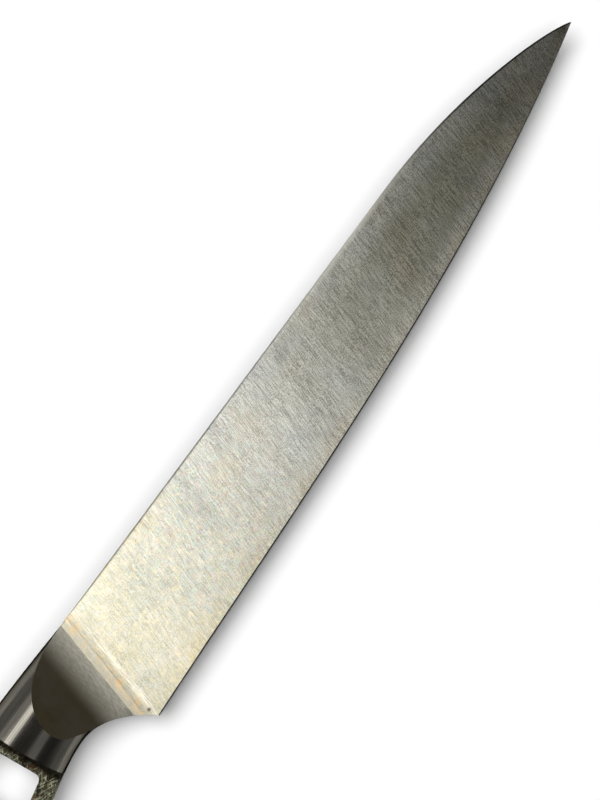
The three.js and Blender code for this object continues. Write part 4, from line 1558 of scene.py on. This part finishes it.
@dataclass
class Scale:
    """One of the two wooden scales: round along its edges and its front, with seats for the rivets."""

    handle: Handle
    side: Side
    wood: bpy.types.Material
    edge_round: float = 3.6
    front_round: float = 5.0
    grain: float = 0.5  # size of the mesh's cells
    smoothing: int = 8  # rounds
    round_steps: int = 12
    curve_steps: int = 30
    seat_sides: int = 72
    margin: float = 6.0  # how far a cutting body runs past the wood
    crease_angle: float = 40.0

    def rings(self) -> np.ndarray:
        """Lays outlines over each other that step in along the rounded edge.

        Returns:
            The outlines' points, a row for each, from the tang up.
        """
        handle = self.handle
        line = handle.view.handle(self.curve_steps)
        line = np.vstack([line, [handle.view.plunge_reach, line[-1, 1]]])
        before = line - np.roll(line, 1, axis=0)
        after = np.roll(line, -1, axis=0) - line
        before /= np.linalg.norm(before, axis=1)[:, None]
        after /= np.linalg.norm(after, axis=1)[:, None]
        inward = np.column_stack([-before[:, 1] - after[:, 1], before[:, 0] + after[:, 0]])
        inward /= 1 + (before * after).sum(axis=1)[:, None]
        turn = np.linspace(0, math.pi / 2, self.round_steps)
        steps = [0.0, *(self.edge_round * (1 - np.cos(turn)))]
        rise = handle.half - self.edge_round + self.edge_round * np.sin(turn)
        heights = [handle.tang_thickness / 2, *rise]
        return np.stack([lift(line + step * inward, z) for step, z in zip(steps, heights)])

    def front_body(self) -> np.ndarray:
        """Gives the profile of the space behind the scale's round front.

        Returns:
            Rows of x and z in millimetres, once round.
        """
        handle = self.handle
        turn = np.linspace(0, math.pi / 2, self.round_steps)
        front = handle.scale_front - self.front_round * (1 - np.cos(turn))
        rise = handle.half - self.front_round + self.front_round * np.sin(turn)
        far = -handle.view.handle_length - self.margin
        low, high = handle.tang_thickness / 2 - self.margin, handle.half + self.margin
        ends = [[front[-1], high], [far, high], [far, low], [front[0], low]]
        return np.vstack([np.column_stack([front, rise]), ends])

    def build(self) -> bpy.types.Object:
        """Builds the scale.

        Returns:
            The undressed piece.
        """
        handle = self.handle
        skin = Skin(handle.datum)
        skin.cover(self.rings() * np.array([1, 1, self.side.value]), closed=True)
        piece = show(skin.mesh(f"walnut_scale_{self.side.name.lower()}", self.crease_angle))
        profile = self.front_body()
        reach = handle.view.heel_drop + self.margin
        self.cut(piece, [np.insert(profile, 1, y, axis=1) for y in (-reach, reach)], "INTERSECT")
        even_out(piece, self.grain, self.smoothing)
        head, shank = handle.head_radius + handle.clearance, handle.sleeve_radius + handle.clearance
        seat = handle.half - handle.head_height
        steps = [(head, handle.half + self.margin), (head, seat), (shank, seat), (shank, 0.0)]
        for centre in handle.rivets():
            rows = [lift(centre + radius * circle(self.seat_sides), z) for radius, z in steps]
            self.cut(piece, rows, "DIFFERENCE")
        crease(piece.data, self.crease_angle)
        return piece

    def cut(self, piece: bpy.types.Object, rows: list[np.ndarray], operation: str) -> None:
        """Cuts a piece with a body.

        Args:
            piece: The piece.
            rows: The body's outlines, on the upper side.
            operation: INTERSECT or DIFFERENCE.
        """
        skin = Skin(self.handle.datum)
        skin.cover(np.stack(rows) * np.array([1, 1, self.side.value]), closed=True)
        tool = skin.mesh("cutting_body", self.crease_angle)
        body = show(tool)
        modify(piece, "BOOLEAN", object=body, operation=operation, solver="MANIFOLD")
        settle(piece)
        bpy.data.objects.remove(body)
        bpy.data.meshes.remove(tool)

    def dress(self, piece: bpy.types.Object) -> None:
        """Gives the scale its finish and its place in the frame.

        Args:
            piece: The scale.
        """
        piece.data.materials.clear()
        piece.data.materials.append(self.wood)
        fasten(piece, "scale_wood", f"scale_{self.side.name.lower()}")


@dataclass
class Rivets:
    """The three cutler's rivets, turned by nodes and set on the handle's middle line."""

    handle: Handle
    dome: float = 0.06  # how far a head's rim lies below its middle
    chamfer: float = 0.12
    crown_share: float = 0.4  # of a head's radius, how far in the crown's curve bends
    crown_steps: int = 10
    segments: int = 72
    crease_angle: float = 30.0

    def sizes(self) -> dict[str, float]:
        """Gives the tree's named sizes, in metres.

        Returns:
            The sizes by their inputs' names.
        """
        handle = self.handle
        sizes = {
            "Head Radius": handle.head_radius,
            "Shank Radius": handle.sleeve_radius,
            "Half Length": handle.half,
            "Head Height": handle.head_height,
            "Dome": self.dome,
            "Chamfer": self.chamfer,
        }
        return {name: size * MM for name, size in sizes.items()}

    def tree(self) -> bpy.types.GeometryNodeTree:
        """Makes the tree that turns a rivet round its axis and sets one on each point.

        Returns:
            The tree, with its sizes as inputs.
        """
        tree = bpy.data.node_groups.new("turned_rivets", "GeometryNodeTree")
        add = partial(add_node, tree)
        sockets = {"Points": "Geometry", **dict.fromkeys(self.sizes(), "Float"), "Segments": "Int"}
        for name, kind in {**sockets, "Finish": "Material"}.items():
            tree.interface.new_socket(name, in_out="INPUT", socket_type="NodeSocket" + kind)
        tree.interface.new_socket("Rivets", in_out="OUTPUT", socket_type="NodeSocketGeometry")
        given = add("NodeGroupInput").outputs
        head, chamfer, long = given["Head Radius"], given["Chamfer"], given["Half Length"]
        axis, crown = (add("Math", (head, -share), **TIMES) for share in (1.0, self.crown_share))
        rim = add("Math", (chamfer, -1.0), **TIMES)
        shank = add("Math", (given["Shank Radius"], head), **LESS)
        low = add("Math", (long, given["Dome"]), **LESS)
        wall = add("Math", (low, chamfer), **LESS)
        seat = add("Math", (long, given["Head Height"]), **LESS)
        # The profile of half a rivet. The circle that carries it round runs along the head's rim, so that x
        # is measured from there and y is the height over the middle plane.
        stations = (
            (axis, long),
            (crown, long),
            (rim, low),
            (0.0, wall),
            (0.0, seat),
            (shank, seat),
            (shank, 0.0),
        )
        points = [add("CombineXYZ", station) for station in stations]
        bend = {"Start": points[0], "Middle": points[1], "End": points[2], "Resolution": self.crown_steps}
        parts = [add("GeometryNodeCurveQuadraticBezier", bend)]
        for start, end in zip(points[2:], points[3:]):
            parts.append(add("GeometryNodeCurvePrimitiveLine", {"Start": start, "End": end}))
        half = add("GeometryNodeJoinGeometry")
        for part in parts:
            tree.links.new(part.outputs[0], half.inputs[0])
        other = add("GeometryNodeTransform", {"Geometry": half, "Scale": (1.0, -1.0, 1.0)})
        profile = add("GeometryNodeJoinGeometry", {"Geometry": half})
        tree.links.new(other.outputs[0], profile.inputs[0])
        rims = add("GeometryNodeCurvePrimitiveCircle", {"Resolution": given["Segments"], "Radius": head})
        turned = add("GeometryNodeCurveToMesh", {"Curve": rims, "Profile Curve": profile})
        closed = add("GeometryNodeMergeByDistance", {"Geometry": turned, "Distance": SAME_POINT})
        set_in = add("GeometryNodeInstanceOnPoints", {"Points": given["Points"], "Instance": closed})
        real = add("GeometryNodeRealizeInstances", {"Geometry": set_in})
        dressed = add("GeometryNodeSetMaterial", {"Geometry": real, "Material": given["Finish"]})
        add("NodeGroupOutput", {"Rivets": dressed})
        return tree

    def build(self) -> bpy.types.Object:
        """Turns a rivet on each of the handle's three points.

        Returns:
            The piece, with its material.
        """
        mesh = bpy.data.meshes.new("flush_rivets")
        mesh.from_pydata(self.handle.datum.place(lift(self.handle.rivets(), 0.0)), [], [])
        piece = show(mesh)
        tree = self.tree()
        given = {**self.sizes(), "Segments": self.segments, "Finish": RivetSteel().material()}
        turning = piece.modifiers.new("turning", "NODES")
        turning.node_group = tree
        for item in tree.interface.items_tree:
            if item.name in given:
                turning[item.identifier] = given[item.name]
        settle(piece)
        with editing(piece.data) as work:
            bmesh.ops.recalc_face_normals(work, faces=work.faces)
        crease(piece.data, self.crease_angle)
        return piece

    def dress(self, piece: bpy.types.Object) -> None:
        """Gives the rivets their place in the frame; the tree has already given them their finish.

        Args:
            piece: The rivets.
        """
        places = ("front", "middle", "rear")
        halves = [f"rivet_{place}_{half}" for place in places for half in ("pin", "sleeve")]
        fasten(piece, "rivet_steel", *halves)


@dataclass(frozen=True)
class Card:
    """A soft lamp: an even rectangle of light that faces the knife, and shows in the metal alone."""

    name: str
    place: tuple[float, float, float]  # metres
    target: tuple[float, float, float]
    wide: float
    high: float
    radiance: float

    def hang(self) -> None:
        """Hangs the lamp."""
        lamp = bpy.data.lights.new(self.name, "AREA")
        lamp.shape = "RECTANGLE"
        lamp.size, lamp.size_y = self.wide, self.high
        lamp.energy = self.radiance * math.pi * self.wide * self.high
        piece = show(lamp)
        piece.location = self.place
        aim = Vector(self.target) - Vector(self.place)
        piece.rotation_euler = aim.to_track_quat("-Z", "Y").to_euler()
        piece.visible_camera = False
        piece.visible_diffuse = False


@dataclass(frozen=True)
class Sky:
    """A broad far lamp that lights the floor and the wood, and gives the shadow one of its two soft sides."""

    name: str
    angle: float  # degrees across
    tilt: float  # degrees from overhead towards the spine
    strength: float

    def hang(self) -> None:
        """Hangs the lamp."""
        lamp = bpy.data.lights.new(self.name, "SUN")
        lamp.angle = math.radians(self.angle)
        lamp.energy = self.strength
        piece = show(lamp)
        piece.rotation_euler = (-math.radians(self.tilt), 0.0, 0.0)
        piece.visible_glossy = False


@dataclass
class Studio:
    """A white floor, soft studio light and a camera straight above the blade."""

    camera_place: tuple[float, float, float] = (0.0497, -0.0001, 0.829)
    camera_turn: float = -54.4  # degrees round the vertical
    lens: float = 148.5
    sensor: float = 36.0  # the frame's long side
    clip: tuple[float, float] = (0.01, 50.0)  # metres
    floor_size: float = 12.0  # metres
    floor_gap: float = 0.0002  # metres below the knife
    zenith: float = 0.075
    horizon: float = 0.5
    walls: float = 0.75
    matt_share: float = 0.2  # of the room's light that matt surfaces get, so that the shadow keeps its depth
    skies: tuple[Sky, ...] = (
        Sky("spine_side_sky", 44.0, 20.0, 2.83),
        Sky("edge_side_sky", 28.0, -16.0, 0.70),
    )
    cards: tuple[Card, ...] = (
        Card("heel_key_card", (-0.067, -0.022, 0.60), (-0.067, -0.022, 0.0), 0.026, 0.23, 14.4),
        Card("blade_key_card", (0.0, 0.068, 0.60), (0.0, 0.068, 0.0), 0.046, 0.23, 9.6),
        Card("stripe_card", (-0.135, 0.336, 0.508), (-0.05, 0.005, 0.008), 0.6, 0.12, 4.3),
        Card("glow_card", (-0.135, 0.46, 0.40), (-0.05, 0.005, 0.008), 0.6, 0.16, 0.7),
        Card("crest_card", (-0.16, -0.14, 0.59), (-0.16, -0.14, 0.0), 0.12, 0.15, 0.5),
        Card("front_card", (0.47, 0.0, 0.50), (-0.03, 0.0, 0.01), 0.6, 0.4, 0.3),
    )

    def floor(self) -> None:
        """Lays the floor."""
        reach = self.floor_size / 2
        corners = [(-reach, -reach), (reach, -reach), (reach, reach), (-reach, reach)]
        mesh = bpy.data.meshes.new("white_floor")
        mesh.from_pydata([(x, y, -self.floor_gap) for x, y in corners], [], [(0, 1, 2, 3)])
        mesh.materials.append(PaleFloor().material())
        show(mesh)

    def light(self) -> None:
        """Hangs the lamps and shades the surroundings from a dim ceiling to paler walls."""
        for lamp in (*self.skies, *self.cards):
            lamp.hang()
        world = bpy.data.worlds.new("studio_room")
        world.use_nodes = True
        world.node_tree.nodes.clear()
        add = partial(add_node, world.node_tree)
        x, y, up = add("SeparateXYZ", [add("TexCoord").outputs["Generated"]]).outputs
        level = add("MapRange", (up, 0.3, 0.8, self.horizon, self.zenith), **SMOOTH)
        along = add("Math", [x], **PLAIN)
        skew = add("Math", [add("Math", (x, y), **TIMES)], **PLAIN)
        # The room's end walls are pale up to eye height, and its corners higher up.
        for reach, near, far, low, high in ((along, 0.25, 0.6, 0.3, 0.55), (skew, 0.08, 0.25, 0.55, 0.85)):
            beside = add("MapRange", (reach, near, far, 0.0, self.walls), **SMOOTH)
            under = add("MapRange", (up, high, low), **SMOOTH)
            wall = add("Math", (beside, under), **TIMES)
            level = add("Math", (level, wall), operation="MAXIMUM")
        matt = add("LightPath").outputs["Is Diffuse Ray"]
        share = add("MapRange", (matt, 0.0, 1.0, 1.0, self.matt_share))
        level = add("Math", (level, share), **TIMES)
        add("OutputWorld", {"Surface": add("Background", {"Strength": level})})
        bpy.context.scene.world = world

    def camera(self) -> None:
        """Sets the camera up."""
        lens = bpy.data.cameras.new("camera_above")
        lens.lens = self.lens
        lens.sensor_width = self.sensor
        lens.clip_start, lens.clip_end = self.clip
        camera = show(lens)
        camera.location = self.camera_place
        camera.rotation_euler = (0.0, 0.0, math.radians(self.camera_turn))
        bpy.context.scene.camera = camera

    def build(self) -> None:
        """Builds the studio round the knife."""
        self.floor()
        self.light()
        self.camera()
        bpy.context.scene.view_settings.view_transform = "Standard"


def main() -> None:
    """Builds the knife piece by piece, then the studio."""
    logging.basicConfig(level=logging.INFO, format="%(name)s: %(message)s")
    view = SideView()
    blade_low, blade_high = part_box("blade")
    tang_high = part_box("tang")[1]
    datum = Datum(
        heel=blade_high.x - view.blade_length * MM,
        axis=tang_high.y - view.crown_rise * MM,
        middle=(blade_low.z + blade_high.z) / 2,
    )
    blade = Blade(view, datum)
    handle = Handle(view, datum)
    wood = OiledWalnut().material()
    scales = [Scale(handle, side, wood) for side in Side]
    for maker in (blade, Bolster(view, blade, datum), Tang(handle), Rivets(handle), *scales):
        maker.dress(maker.build())
    Studio().build()


if __name__ == "__main__":
    main()
